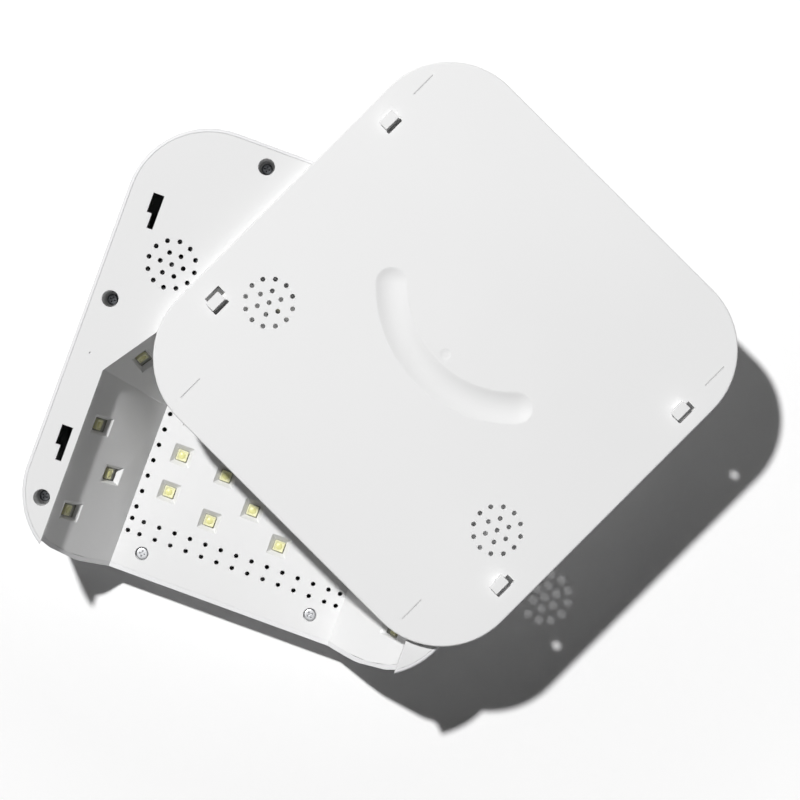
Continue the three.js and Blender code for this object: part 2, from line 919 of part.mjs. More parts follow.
function buildSwitch(x) {
  const wellTop = switchBottom + plungerReach + buttonTravel + clearance;
  const body = box(switchSize, switchSize, switchBottom, mainBoardHeight - clearance, x, buttonY);
  const well = cylinder(
    buttonStemRadius + clearance,
    switchBottom - overrun,
    wellTop,
    x,
    buttonY,
    smallSideCount,
  );
  return body.subtract(well);
}

function buildDisplayWindow() {
  const flangeTop = flangeBottom + displayFlangeThickness;
  const pane = roundedOutline(
    displayWidth - 2 * clearance,
    displayDepth - 2 * clearance,
    displayFlange - clearance,
    0,
    displayY,
  );
  const flange = roundedOutline(
    displayWidth + 2 * displayFlange,
    displayDepth + 2 * displayFlange,
    displayFlange,
    0,
    displayY,
  );
  return join([prism(pane, controlSunk, flangeTop), prism(flange, flangeBottom, flangeTop)]);
}

function buildDisplayModule() {
  const bottom = flangeBottom + displayFlangeThickness + clearance;
  return box(displayWidth, displayDepth, bottom, mainBoardHeight - clearance, 0, displayY);
}

function buildMainBoard() {
  const top = mainBoardHeight + mainBoardThickness;
  const outline = roundedOutline(mainBoardWidth, mainBoardDepth, mainBoardCorner, 0, controlY);
  const holes = boardScrewPlaces().map(({ x, y }) =>
    cylinder(screwShankRadius + clearance, mainBoardHeight - overrun, top + overrun, x, y, smallSideCount),
  );
  return join([cut(prism(outline, mainBoardHeight, top), holes), ...boardComponents(top)]);
}

// Capacitors in a row, a controller chip, a coil and a wire connector
function boardComponents(top) {
  const room = panelBottom - clearance - boardThickness - clearance - top;
  const step = mainBoardWidth / boardStepCount;
  const rear = controlY + mainBoardDepth / 4;
  const front = controlY - mainBoardDepth / 4;
  const base = top - clearance;
  const capRadius = capRadiusShare * room;
  const capTop = top + capHeightShare * room;
  return [
    ...[-2, -1, 1, 2].map((i) => cylinder(capRadius, base, capTop, i * step, rear, smallSideCount)),
    box(step, step, base, top + controllerHeightShare * room, 0, front),
    cylinder(step / 2, base, top + coilHeightShare * room, -2 * step, front),
    box(2 * step, step / 2, base, top + connectorHeightShare * room, 2 * step, front),
  ];
}

// Battery cradle and cells
function cellXs() {
  return Array.from({ length: cellCount }, (_, i) => (i - (cellCount - 1) / 2) * cellPitch);
}

// The cradle ends where the shell's flat inner floor does
function cellRear() {
  const floorEnd = lampDepth / 2 - shellWall - draftRun - crownRun;
  return floorEnd - cradleGap - cradleWall - clearance - cellCapHeight;
}

function cradleFloorTop() {
  return topWall + clearance + cradleWall;
}

function cellAxisHeight() {
  return cradleFloorTop() + clearance + cellRadius;
}

function buildBatteryCradle() {
  const innerWidth = (cellCount - 1) * cellPitch + 2 * (cellRadius + clearance);
  const innerDepth = cellLength + cellCapHeight + 2 * clearance;
  const middle = cellRear() + (cellCapHeight - cellLength) / 2;
  const bottom = topWall + clearance;
  const body = box(
    innerWidth + 2 * cradleWall,
    innerDepth + 2 * cradleWall,
    bottom,
    bottom + cradleHeight,
    0,
    middle,
  );
  const room = box(innerWidth, innerDepth, cradleFloorTop(), bottom + cradleHeight + overrun, 0, middle);
  return body.subtract(room);
}

function buildCell(x) {
  const rear = cellRear();
  return join([
    lyingCylinder(cellRadius, rear - cellLength, rear, x, cellAxisHeight()),
    lyingCylinder(cellCapRadius, rear - clearance, rear + cellCapHeight, x, cellAxisHeight(), smallSideCount),
  ]);
}

// Charging socket
function shellInnerRear(z) {
  const lean = (draftRun * (lampHeight - z)) / (lampHeight - crownHeight);
  return lampDepth / 2 - lean - shellWall;
}

function buildChargeSocket() {
  const seat = shellInnerRear(socketHeight - socketFlange) - clearance;
  const end = seat + shellWall;
  const flangeFront = seat - socketFlangeThickness;
  const bodyFront = flangeFront - socketBodyLength;
  const bore = lyingCylinder(socketBore, end - socketBoreDepth, end + overrun, 0, socketHeight);
  const outside = join([
    lyingCylinder(socketBarrel, flangeFront, end, 0, socketHeight),
    lyingCylinder(socketFlange, flangeFront, seat, 0, socketHeight),
    lyingCylinder(socketBody, bodyFront, flangeFront + clearance, 0, socketHeight),
  ]);
  const pinBase = end - socketBoreDepth - clearance;
  const pin = lyingCylinder(socketPin, pinBase, end - socketPin, 0, socketHeight, smallSideCount);
  return outside.subtract(bore).add(pin);
}

// Fans, each in its own frame with z up towards the grille and the origin at its underside
function buildFanFrame() {
  const half = fanPostPitch / 2;
  const outline = roundedOutline(fanSize, fanSize, fanCorner);
  const spokeHeight = boardThickness;
  const spokes = Array.from({ length: fanSpokeCount }, (_, i) =>
    solid(
      new THREE.BoxGeometry(fanBore, fanSpoke, spokeHeight)
        .translate(fanBore / 2 + clearance, 0, spokeHeight / 2)
        .rotateZ((i / fanSpokeCount) * 2 * Math.PI),
    ),
  );
  const holeRadius = fanPostRadius + clearance;
  const holes = [-1, 1].flatMap((x) =>
    [-1, 1].map((y) =>
      cylinder(holeRadius, -overrun, fanThickness + overrun, x * half, y * half, smallSideCount),
    ),
  );
  const ring = cut(prism(outline, 0, fanThickness), [
    cylinder(fanBore, -overrun, fanThickness + overrun, 0, 0, innerSideCount),
    ...holes,
  ]);
  const motor = cylinder(fanMotorRadius, 0, spokeHeight, 0, 0, innerSideCount);
  const bearing = cylinder(fanShaftRadius + clearance, -overrun, overrun, 0, 0, smallSideCount);
  return join([ring, motor, ...spokes]).subtract(bearing);
}

function buildFanRotor() {
  const bottom = boardThickness + clearance;
  const top = fanThickness - clearance;
  const tip = fanBore - fanBladeGap;
  const chord = (top - bottom) / Math.cos(fanBladePitch);
  const blades = Array.from({ length: fanBladeCount }, (_, i) =>
    solid(
      new THREE.BoxGeometry(fanBore, fanBladeThickness, chord)
        .translate(fanBore / 2, 0, 0)
        .rotateX(fanBladePitch)
        .translate(0, 0, (top + bottom) / 2)
        .rotateZ((i / fanBladeCount) * 2 * Math.PI),
    ),
  );
  const swept = cylinder(tip, bottom, top, 0, 0, innerSideCount);
  const hub = cylinder(fanHubRadius, bottom, top, 0, 0, innerSideCount);
  const shaft = cylinder(fanShaftRadius, clearance, bottom + clearance, 0, 0, smallSideCount);
  return join([hub, join(blades).intersect(swept), shaft]);
}

// Base tray in its own frame: x across, y to its front, z up out of its inner side
function buildTray() {
  const rim = loft([
    { z: 0, outline: footprint(trayEdge / 2) },
    { z: trayEdge / 2, outline: footprint(0) },
    { z: trayRimHeight - trayEdge, outline: footprint(0) },
    { z: trayRimHeight, outline: footprint(trayEdge) },
  ]);
  const under = prism(footprint(trayRimWall), -overrun, trayRimHeight - trayThickness);
  const plate = rim.subtract(under).add(grooveBand(grooveBacking));
  const cutters = [
    grooveCutter(),
    ...hookOpenings(),
    ...hookReliefs(),
    ...footSlots(),
    ...grilleHoles(0, trayRimHeight, -1),
  ];
  return join([cut(plate, cutters), ...trayHooks()]);
}

function grooveCentre() {
  return grooveApex + grooveRadius;
}

function grooveEnds() {
  return [-1, 1].map((side) => ({
    x: side * grooveRadius * Math.sin(grooveHalfAngle),
    y: grooveCentre() - grooveRadius * Math.cos(grooveHalfAngle),
  }));
}

// A ring cut down to the groove's arc
function grooveArc(ring) {
  const reach = 2 * grooveRadius;
  const corners = [
    [0, 0],
    [-reach * Math.sin(grooveHalfAngle), -reach * Math.cos(grooveHalfAngle)],
    [reach * Math.sin(grooveHalfAngle), -reach * Math.cos(grooveHalfAngle)],
  ];
  const sector = corners.map(([x, y]) => new THREE.Vector2(x, grooveCentre() + y));
  return ring.intersect(prism(sector, -reach, reach));
}

// Material behind the groove, which keeps the plate's thickness under it
function grooveBand(wall) {
  const half = grooveHalfWidth + wall;
  const top = trayRimHeight - trayThickness / 2;
  const bottom = trayRimHeight - trayThickness - wall;
  const ring = lathe(
    [
      [grooveRadius - half, bottom],
      [grooveRadius + half, bottom],
      [grooveRadius + half, top],
      [grooveRadius - half, top],
      [grooveRadius - half, bottom],
    ],
    2 * grooveStepCount,
  ).translate([0, grooveCentre(), 0]);
  return join([grooveArc(ring), ...grooveEnds().map(({ x, y }) => cylinder(half, bottom, top, x, y))]);
}

// The groove's section is an arc of a circle with this width and depth
function grooveProfile(side) {
  const sag = grooveDepth;
  const radius = (grooveHalfWidth ** 2 + sag ** 2) / (2 * sag);
  const halfAngle = Math.asin(grooveHalfWidth / radius);
  const points = [];
  for (let step = 0; step <= grooveSectionStepCount; step++) {
    const angle = halfAngle * (step / grooveSectionStepCount);
    points.push([side * radius * Math.sin(angle), trayRimHeight - sag + radius * (1 - Math.cos(angle))]);
  }
  return points;
}

function grooveCutter() {
  const outer = grooveProfile(1);
  const inner = grooveProfile(-1).slice(1).reverse();
  const top = trayRimHeight + overrun;
  const section = [
    ...inner,
    ...outer,
    [grooveHalfWidth, top],
    [-grooveHalfWidth, top],
    inner[0],
  ];
  const shifted = section.map(([across, z]) => [grooveRadius + across, z]);
  const ring = lathe(shifted, 2 * grooveStepCount).translate([0, grooveCentre(), 0]);
  const end = lathe([...outer, [grooveHalfWidth, top], [0, top]]);
  return join([grooveArc(ring), ...grooveEnds().map(({ x, y }) => end.translate([x, y, 0]))]);
}

function hookOpenings() {
  const bottom = -overrun;
  const top = trayRimHeight + overrun;
  const half = hookLength / 2;
  return footprintPlaces(hookShares).flatMap(({ x, y }) =>
    [-1, 1].map((side) => {
      const outer = x + hookOpening;
      const corners = [
        [x + hookNeck, y - half],
        [outer, y - half],
        [outer, y + half + hookStubLength],
        [outer - hookStubWidth, y + half + hookStubLength],
        [outer - hookStubWidth, y + half],
        [x + hookNeck, y + half],
      ];
      const points = corners.map(([across, along]) => new THREE.Vector2(side * across, along));
      return prism(points, bottom, top);
    }),
  );
}

// A second slot behind each left hook leaves it on a springy strip
function hookReliefs() {
  return footprintPlaces(hookShares).map(({ x, y }) => {
    const middle = hookReliefGap + hookReliefWidth / 2 - x;
    return box(hookReliefWidth, hookReliefLength, -overrun, trayRimHeight + overrun, middle, y);
  });
}

function trayHooks() {
  const base = trayRimHeight - trayThickness / 2;
  const headBottom = trayRimHeight + plateThickness + hookPlay;
  const headTop = headBottom + hookHead;
  const half = hookLength / 2;
  return footprintPlaces(hookShares).flatMap(({ x, y }) =>
    [-1, 1].flatMap((side) => {
      const neckX = side * (x + hookNeck / 2);
      const headX = side * (x + hookReach / 2);
      const neckY = y + half - hookNeckLength / 2;
      return [
        box(hookNeck, hookNeckLength, base, headTop, neckX, neckY),
        box(hookReach, hookLength, headBottom, headTop, headX, y),
      ];
    }),
  );
}

function footSlots() {
  return trayFeetPlaces().map(({ x, y }) =>
    box(footSlotWidth, footSlotLength, -overrun, trayRimHeight + overrun, x, y),
  );
}

// The feet stand round the centres of the corners, by shares of the corner radius
function trayFeetPlaces() {
  const cornerX = lampWidth / 2 - cornerRadius;
  const cornerY = lampDepth / 2 - cornerRadius;
  const places = footCornerShares.map(({ end, across, along }) => ({
    x: cornerX + across * cornerRadius,
    y: end * (cornerY + along * cornerRadius),
  }));
  return mirrored(places);
}

function buildTrayFoot({ x, y }) {
  const top = trayRimHeight - trayThickness - clearance;
  const outline = roundedOutline(footWidth, footLength, footWidth / 2 - clearance, x, y);
  const rib = box(
    footSlotWidth - 2 * clearance,
    footSlotLength - 2 * clearance,
    top - clearance,
    trayRimHeight - footRibSunk,
    x,
    y,
  );
  return prism(outline, -footProud, top).add(rib);
}

// Scene
const lamp = new THREE.Group();

function addPiece(parent, name, body, material) {
  const mesh = new THREE.Mesh(geometryOf(body), material);
  mesh.name = name;
  parent.add(mesh);
  return mesh;
}

function addHousing() {
  addPiece(lamp, "outer_shell", buildOuterShell(), shellWhite);
  addPiece(lamp, "bottom_plate", buildBottomPlate(), shellWhite);
  addPiece(lamp, "reflector_liner", buildReflectorLiner(), linerWhite);
  addPiece(lamp, "ceiling_panel", buildCeilingPanel(), linerWhite);
}

function addLampBoards() {
  addPiece(lamp, "ceiling_led_board", buildCeilingBoard(), boardWhite);
  for (const [name, leaningWall] of Object.entries(leaningWalls)) {
    const wall = new THREE.Group();
    wall.applyMatrix4(leaningWall.frame);
    addPiece(wall, name, buildWallBoard(leaningWall), boardWhite);
    lamp.add(wall);
  }
}

function addControls() {
  addPiece(lamp, "main_board", buildMainBoard(), boardGreen);
  addPiece(lamp, "display_window", buildDisplayWindow(), smokedPlastic);
  addPiece(lamp, "display_module", buildDisplayModule(), darkPlastic);
  buttonXs().forEach((x, i) => {
    addPiece(lamp, buttonNames[i], buildButton(x), shellWhite);
    addPiece(lamp, "button_switch_" + (i + 1), buildSwitch(x), darkPlastic);
  });
}

function addPower() {
  addPiece(lamp, "battery_cradle", buildBatteryCradle(), darkPlastic);
  cellXs().forEach((x, i) => addPiece(lamp, "battery_cell_" + (i + 1), buildCell(x), cellWrap));
  addPiece(lamp, "charge_socket", buildChargeSocket(), darkPlastic);
}

function addFans() {
  const centre = grilleCentre();
  for (const [word, side] of [["left", -1], ["right", 1]]) {
    const fan = new THREE.Group();
    fan.position.set(side * centre.x, centre.y, plateBottom - clearance - fanThickness);
    addPiece(fan, word + "_fan_frame", buildFanFrame(), darkPlastic);
    addPiece(fan, word + "_fan_rotor", buildFanRotor(), darkPlastic);
    lamp.add(fan);
  }
}

function addScrews() {
  const caseSeat = lampHeight - wellDepth + clearance;
  caseScrewPlaces().forEach(({ x, y }, i) => {
    const body = screw(caseHeadRadius, caseHeadHeight, caseShankLength);
    addPiece(lamp, "case_screw_" + (i + 1), body, steel).position.set(x, y, caseSeat);
  });
  ceilingScrewPlaces().forEach(({ x, y }, i) => {
    const body = screw(ceilingHeadRadius, ceilingHeadHeight, ceilingShankLength);
    const seat = ceilingSeat() + clearance;
    addPiece(lamp, "ceiling_screw_" + (i + 1), body, steel).position.set(x, y, seat);
  });
  boardScrewPlaces().forEach(({ x, y }, i) => {
    const body = screw(boardHeadRadius, boardHeadHeight, boardShankLength);
    const seat = mainBoardHeight + mainBoardThickness + clearance;
    addPiece(lamp, "board_screw_" + (i + 1), body, steel).position.set(x, y, seat);
  });
}

function addTray() {
  const tray = new THREE.Group();
  tray.position.set(trayX, trayY, lampHeight + clearance);
  tray.rotation.z = trayTurn;
  addPiece(tray, "base_tray", buildTray(), trayWhite);
  trayFeetPlaces().forEach((place, i) => {
    addPiece(tray, "tray_foot_" + (i + 1), buildTrayFoot(place), rubber);
  });
  lamp.add(tray);
}

addHousing();
addLampBoards();
addControls();
addPower();
addFans();
addScrews();
addTray();

export default lamp;
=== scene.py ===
from math import acos, cos, degrees, hypot, pi, radians, sin, sqrt, tan

import bmesh
import bpy
from mathutils import Matrix, Vector


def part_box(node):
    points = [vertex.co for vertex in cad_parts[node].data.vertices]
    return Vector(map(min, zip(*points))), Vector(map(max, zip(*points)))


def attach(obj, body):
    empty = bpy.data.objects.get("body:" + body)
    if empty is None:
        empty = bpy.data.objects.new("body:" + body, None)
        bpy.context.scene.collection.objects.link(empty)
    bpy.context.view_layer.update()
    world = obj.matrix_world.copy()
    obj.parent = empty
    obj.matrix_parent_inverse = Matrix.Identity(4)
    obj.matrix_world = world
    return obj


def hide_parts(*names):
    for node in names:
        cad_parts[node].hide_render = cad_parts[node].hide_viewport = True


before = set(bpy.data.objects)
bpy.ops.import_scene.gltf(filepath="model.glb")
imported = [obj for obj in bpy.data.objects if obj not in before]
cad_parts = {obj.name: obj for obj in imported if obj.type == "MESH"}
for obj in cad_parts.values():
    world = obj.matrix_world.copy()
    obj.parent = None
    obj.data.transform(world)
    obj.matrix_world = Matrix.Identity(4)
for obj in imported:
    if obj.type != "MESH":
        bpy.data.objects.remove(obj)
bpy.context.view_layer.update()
mm = 0.001  # pieces are drawn in millimetres and scaled to metres when they are finished

# Camera straight over the lamp, with the photograph's roll and framing
photoView = {
    "x": 0.0001,
    "y": 0.0223,
    "height": 1.292,
    "roll": 20.056,
    "focalPixels": 2532.5,
    "centreU": 308.7,
    "centreV": 357.9,
    "size": 800,
    "sensor": 36,
}


def placeCamera(view):
    data = bpy.data.cameras.new("camera")
    data.sensor_width = view["sensor"]
    data.lens = view["focalPixels"] * view["sensor"] / view["size"]
    data.shift_x = 0.5 - view["centreU"] / view["size"]
    data.shift_y = view["centreV"] / view["size"] - 0.5
    camera = bpy.data.objects.new("camera", data)
    camera.location = (view["x"], view["y"], view["height"])
    camera.rotation_euler = (0, 0, radians(view["roll"]))
    bpy.context.scene.collection.objects.link(camera)
    bpy.context.scene.camera = camera


placeCamera(photoView)
bpy.context.scene.view_settings.view_transform = "Standard"
print("camera placed")


# Shader values: an expression on wires adds its Math nodes
class Wire:
    def __init__(self, tree, socket):
        self.tree = tree
        self.socket = socket

    def make(self, kind, settings=None, inputs=None, output=0):
        node = self.tree.nodes.new("ShaderNode" + kind)
        for name, value in (settings or {}).items():
            setattr(node, name, value)
        for name, value in (inputs or {}).items():
            if isinstance(value, Wire):
                self.tree.links.new(value.socket, node.inputs[name])
            else:
                node.inputs[name].default_value = value
        return Wire(self.tree, node.outputs[output])

    def maths(self, operation, first, second=0.0):
        return self.make("Math", {"operation": operation}, {0: first, 1: second})

    def __add__(self, other):
        return self.maths("ADD", self, other)

    __radd__ = __add__

    def __sub__(self, other):
        return self.maths("SUBTRACT", self, other)

    def __mul__(self, other):
        return self.maths("MULTIPLY", self, other)

    def largest(self, other):
        return self.maths("MAXIMUM", self, other)

    def noise(self, scale, detail=2.0, roughness=0.5):
        inputs = {"Vector": self, "Scale": scale, "Detail": detail, "Roughness": roughness}
        return self.make("TexNoise", {}, inputs)

    def stretched(self, scale, turn=0.0):
        inputs = {"Vector": self, "Scale": scale, "Rotation": (0, 0, radians(turn))}
        return self.make("Mapping", {}, inputs)

    def between(self, low, high):
        inputs = {"Value": self, "From Min": low, "From Max": high}
        return self.make("MapRange", {"clamp": True}, inputs)

    def blend(self, dark, pale):
        return self.make("Mix", {"data_type": "RGBA"}, {0: self, 6: linear(*dark), 7: linear(*pale)}, 2)


def linear(*levels):
    shares = [level / 255 for level in levels]
    return tuple(s / 12.92 if s < 0.04045 else ((s + 0.055) / 1.055) ** 2.4 for s in shares) + (1,)


def newTree(material):
    material.use_nodes = True
    material.node_tree.nodes.clear()
    return material.node_tree


def newMaterial(name):
    material = bpy.data.materials.new(name)
    tree = newTree(material)
    coordinates = tree.nodes.new("ShaderNodeTexCoord")
    return material, Wire(tree, coordinates.outputs["Object"])


def output(wire, kind="Material"):
    target = wire.tree.nodes.new("ShaderNodeOutput" + kind)
    wire.tree.links.new(wire.socket, target.inputs["Surface"])


def surface(place, colour, roughness, height=None, bump=0.00001, **constants):
    inputs = {"Base Color": colour, "Roughness": roughness}
    inputs.update({name.replace("_", " "): value for name, value in constants.items()})
    if height is not None:
        inputs["Normal"] = place.make("Bump", {}, {"Height": height, "Distance": bump, "Strength": 1.0})
    output(place.make("BsdfPrincipled", {}, inputs))


# Floor and light: a soft key over the photograph's upper left, near enough for its rays to spread, and a
# pale room all round
studio = {
    "floorSize": 14.0,
    "floorColour": linear(254, 254, 254),
    "nearGlow": 0.07,
    "nearReach": (0.2, 0.32),  # none near the lamp, so that the shadow stays dark
    "farGlow": 0.93,
    "farReach": (0.3, 3.0),
    "floorLevel": -0.0002,  # just under the lamp's flat top, so that the two don't flicker
    "roomColour": (1, 1, 1, 1),
    "roomLight": 0.04,
    "keyLevel": 3.16,
    "keyRadius": 0.034,
    "keyPlace": (-0.59, 0.417, 1.647),
}


def seenDirectly(tree):
    path = tree.nodes.new("ShaderNodeLightPath")
    kinds = ("Camera", "Glossy", "Transmission")
    camera, glossy, clear = (Wire(tree, path.outputs[f"Is {kind} Ray"]) for kind in kinds)
    return camera.largest(glossy).largest(clear)


def makeFloor(sizes):
    bm = bmesh.new()
    level = Matrix.Translation((0, 0, sizes["floorLevel"]))
    bmesh.ops.create_grid(bm, x_segments=1, y_segments=1, size=sizes["floorSize"] / 2, matrix=level)
    mesh = bpy.data.meshes.new("floor")
    bm.to_mesh(mesh)
    floor = bpy.data.objects.new("floor", mesh)
    bpy.context.scene.collection.objects.link(floor)
    material, place = newMaterial("palePaper")
    diffuse = place.make("BsdfDiffuse", {}, {"Color": sizes["floorColour"]})
    distance = place.make("VectorMath", {"operation": "LENGTH"}, {0: place}, "Value")
    near = distance.between(*sizes["nearReach"]) * sizes["nearGlow"]
    glow = seenDirectly(place.tree) * (near + distance.between(*sizes["farReach"]) * sizes["farGlow"])
    light = place.make("Emission", {}, {"Color": glow, "Strength": 1.0})
    output(place.make("AddShader", {}, {0: diffuse, 1: light}))
    mesh.materials.append(material)


def makeRoom(sizes):
    world = bpy.data.worlds.new("room")
    bpy.context.scene.world = world
    tree = newTree(world)
    mask = seenDirectly(tree)
    fill = mask.make("Background", {}, {"Color": sizes["roomColour"], "Strength": sizes["roomLight"]})
    white = mask.make("Background", {}, {"Color": (1, 1, 1, 1), "Strength": 1.0})
    output(mask.make("MixShader", {}, {0: mask, 1: fill, 2: white}), "World")


# The key's level is the same near and far, as a larger and more distant lamp's would be
def makeKey(sizes):
    data = bpy.data.lights.new("key", "POINT")
    data.shadow_soft_size = sizes["keyRadius"]
    data.energy = sizes["keyLevel"] * 4 * pi
    data.use_nodes = True
    data.node_tree.nodes.clear()
    even = Wire(data.node_tree, None).make("LightFalloff", {}, {"Strength": 1.0}, "Constant")
    output(even.make("Emission", {}, {"Color": (1, 1, 1, 1), "Strength": even}), "Light")
    key = bpy.data.objects.new("key", data)
    key.location = sizes["keyPlace"]
    bpy.context.scene.collection.objects.link(key)


makeFloor(studio)
makeRoom(studio)
makeKey(studio)
print("floor and light placed")


# Finishes
def mouldedPlastic(place, dark, pale, roughness, grain=1.0):
    cloud = place.noise(9, 3)
    fine = place.noise(1900, 3, 0.6)
    scuffs = place.stretched((40, 900, 40), 28).noise(1.0, 4, 0.62).between(0.66, 0.8)
    colour = cloud.between(0.3, 0.7).blend(dark, pale)
    rough = roughness + (cloud - 0.5) * 0.08 + (fine - 0.5) * 0.05 + scuffs * 0.07
    surface(place, colour, rough, fine * grain, 0.000012)


def phosphor(place, dark, pale, roughness):
    grains = place.noise(5200, 3, 0.7)
    cloud = place.noise(700, 2)
    mixed = (grains * 0.6 + cloud * 0.4).between(0.35, 0.65)
    surface(place, mixed.blend(dark, pale), roughness + (cloud - 0.5) * 0.08, grains, 0.000005)


def screwSteel(place, dark, pale, roughness):
    brushed = place.stretched((1, 14, 1), 35).noise(420, 4, 0.6)
    colour = brushed.between(0.3, 0.7).blend(dark, pale)
    surface(place, colour, roughness + (brushed - 0.5) * 0.22, brushed, 0.000008, Metallic=1.0)


def darkPlastic(place, dark, pale, roughness):
    fine = place.noise(1500, 3)
    colour = place.noise(45, 2).between(0.3, 0.7).blend(dark, pale)
    surface(place, colour, roughness + (fine - 0.5) * 0.12, fine, 0.00002)


def smokedWindow(place, dark, pale, roughness):
    haze = place.noise(60, 4)
    colour = haze.between(0.35, 0.7).blend(dark, pale)
    surface(place, colour, roughness + haze * 0.06, place.noise(500), 0.000002, Coat_Weight=0.6)


def circuitBoard(place, dark, pale, track):
    tracks = place.make("TexBrick", {"offset": 0.37}, {
        "Vector": place, "Scale": 160.0, "Mortar Size": 0.03,
        "Color1": linear(*pale), "Color2": linear(*dark), "Mortar": linear(*track),
    })
    weave = place.noise(1400, 2)
    surface(place, tracks, 0.4 + (weave - 0.5) * 0.14, weave, 0.00001)


def cellWrap(place, dark, pale, roughness):
    crease = place.stretched((30, 900, 30)).noise(1.0, 4)
    colour = crease.between(0.35, 0.65).blend(dark, pale)
    surface(place, colour, roughness + (crease - 0.5) * 0.2, crease, 0.00003)


# The lamp boards' surface: a grey below the board's own pale white, painted shade for the dark inside the
# chip windows
def lampBoardWhite(place, dark, pale, roughness):
    cloud = place.noise(120, 3)
    colour = cloud.between(0.3, 0.7).blend(dark, pale)
    surface(place, colour, roughness + (cloud - 0.5) * 0.15, place.noise(900), 0.00001)


def footRubber(place, dark, pale, roughness):
    fine = place.noise(1200, 4, 0.65)
    colour = fine.between(0.3, 0.7).blend(dark, pale)
    surface(place, colour, roughness + (fine - 0.5) * 0.12, fine, 0.00004)


looks = {
    "shell": ("satinShellWhite", mouldedPlastic, (227, 227, 228), (231, 231, 232), 0.48),
    "underside": ("satinUndersideWhite", mouldedPlastic, (226, 226, 226), (229, 229, 229), 0.6, 1.4),
    "reflector": ("reflectorWhite", mouldedPlastic, (228, 228, 228), (231, 231, 231), 0.58),
    # The walls' white is paler than the other whites to make up for the light their steep faces miss:
    # painted light
    "wall": ("wallWhite", mouldedPlastic, (238, 238, 238), (241, 241, 241), 0.58),
    "tray": ("satinTrayWhite", mouldedPlastic, (233, 233, 233), (236, 236, 236), 0.6, 1.2),
    "button": ("buttonWhite", mouldedPlastic, (226, 226, 228), (231, 231, 232), 0.33),
    # The boards' grey is darker than their pale white board: painted shade inside the chip windows
    "lampBoard": ("lampBoardWhite", lampBoardWhite, (160, 160, 150), (182, 182, 172), 0.42),
    "phosphor": ("phosphorYellow", phosphor, (228, 225, 172), (241, 239, 200), 0.45),
    "chipLens": ("chipLensYellow", phosphor, (224, 221, 148), (236, 233, 168), 0.3),
    "steel": ("ceilingScrewSteel", screwSteel, (162, 163, 165), (200, 201, 203), 0.34),
    # The case screws' steel is darker than the ceiling screws': painted shade for heads deep in their wells
    "paintedShadeSteel": ("caseScrewSteel", screwSteel, (88, 90, 93), (122, 124, 127), 0.34),
    "circuit": ("circuitBoardGreen", circuitBoard, (22, 84, 50), (28, 96, 58), (46, 124, 78)),
    "dark": ("fanBlack", darkPlastic, (20, 20, 22), (30, 30, 32), 0.5),
    "socket": ("socketBlack", darkPlastic, (24, 24, 26), (36, 36, 39), 0.4),
    "window": ("smokedWindow", smokedWindow, (13, 14, 17), (22, 23, 27), 0.09),
    "cell": ("cellWrapBlue", cellWrap, (33, 98, 146), (46, 116, 168), 0.3),
    "foot": ("footRubberPale", footRubber, (204, 204, 204), (214, 214, 213), 0.78),
}
finishes = {}
for look, (materialName, makeSurface, *values) in looks.items():
    finishes[look], objectPlace = newMaterial(materialName)
    makeSurface(objectPlace, *values)
print("finishes made")


# Outlines, and the sides of their small, middle and large rounds
smallRound, middleRound, largeRound = 16, 32, 48


def arc(x, y, radius, start, end, steps):
    angles = [radians(start + (end - start) * i / steps) for i in range(steps + 1)]
    return [(x + radius * cos(a), y + radius * sin(a)) for a in angles]


def circle(x, y, radius, steps):
    return arc(x, y, radius, 0, 360 - 360 / steps, steps - 1)


def roundedBox(width, depth, radius, steps=4, x=0, y=0):
    across = width / 2 - radius
    along = depth / 2 - radius
    corners = [(1, 1, 0), (-1, 1, 90), (-1, -1, 180), (1, -1, 270)]
    return [p for a, b, s in corners for p in arc(x + a * across, y + b * along, radius, s, s + 90, steps)]


# Outlines to be asked for at a growth, or at an inset when they are shrinking
def growingCircle(x, y, radius, steps):
    return lambda grow: circle(x, y, radius + grow, steps)


def growingBox(width, depth, radius, steps, x=0, y=0):
    return lambda grow: roundedBox(width + 2 * grow, depth + 2 * grow, radius + grow, steps, x, y)


def shrinking(outline):
    return lambda inset: outline(-inset)


def fillFlat(bm, *loops):
    edges = [edge for loop in loops for edge in loop]
    bmesh.ops.triangle_fill(bm, use_beauty=True, edges=edges, normal=(0, 0, 1))


# A chain of rings, each (z, outline), joined one to the next; its first and last loops are given back.
# Rings at one height are filled between, because bridging can turn one of them over.
def ringChain(bm, rings):
    loops = []
    for z, outline in rings:
        verts = [bm.verts.new((x, y, z)) for x, y in outline]
        loop = [bm.edges.new((verts[i - 1], verts[i])) for i in range(len(verts))]
        loops.append((z, loop))
    for (z, first), (nextZ, second) in zip(loops, loops[1:]):
        if z == nextZ:
            fillFlat(bm, first, second)
        else:
            bmesh.ops.bridge_loops(bm, edges=first + second)
    return loops[0][1], loops[-1][1]


# A body with flat ends: rings down its outside, holes through it, and pockets closed by a floor
def ringBody(outside, holes=(), pockets=(), backs=(), bm=None):
    bm = bm or bmesh.new()
    first, last = ringChain(bm, outside)
    starts, ends = [first], [last]
    for rings in holes:
        start, end = ringChain(bm, rings)
        starts.append(start)
        ends.append(end)
    for rings in pockets:
        start, end = ringChain(bm, rings)
        starts.append(start)
        fillFlat(bm, end)
    for rings in backs:
        start, end = ringChain(bm, rings)
        ends.append(start)
        fillFlat(bm, end)
    fillFlat(bm, *starts)
    fillFlat(bm, *ends)
    return bm


# A quarter round from a flat face to an upright one; outline(inset) gives the ring at that inset
def roundedEdge(outline, z, radius, steps=3, way=-1):
    rings = []
    for i in range(steps + 1):
        angle = radians(90 * i / steps)
        rings.append((z + way * radius * (1 - cos(angle)), outline(radius * (1 - sin(angle)))))
    return rings


def throughHole(outline, z, bottom, edge, steps=2):
    return roundedEdge(outline, z, edge, steps) + [(bottom, outline(0))]


# The profile of a dome, (radius, z), from its foot to the middle
def domed(radius, rise, level, steps):
    angles = [radians(90 * i / steps) for i in range(steps + 1)]
    return [(radius * cos(a), level + rise * sin(a)) for a in angles]


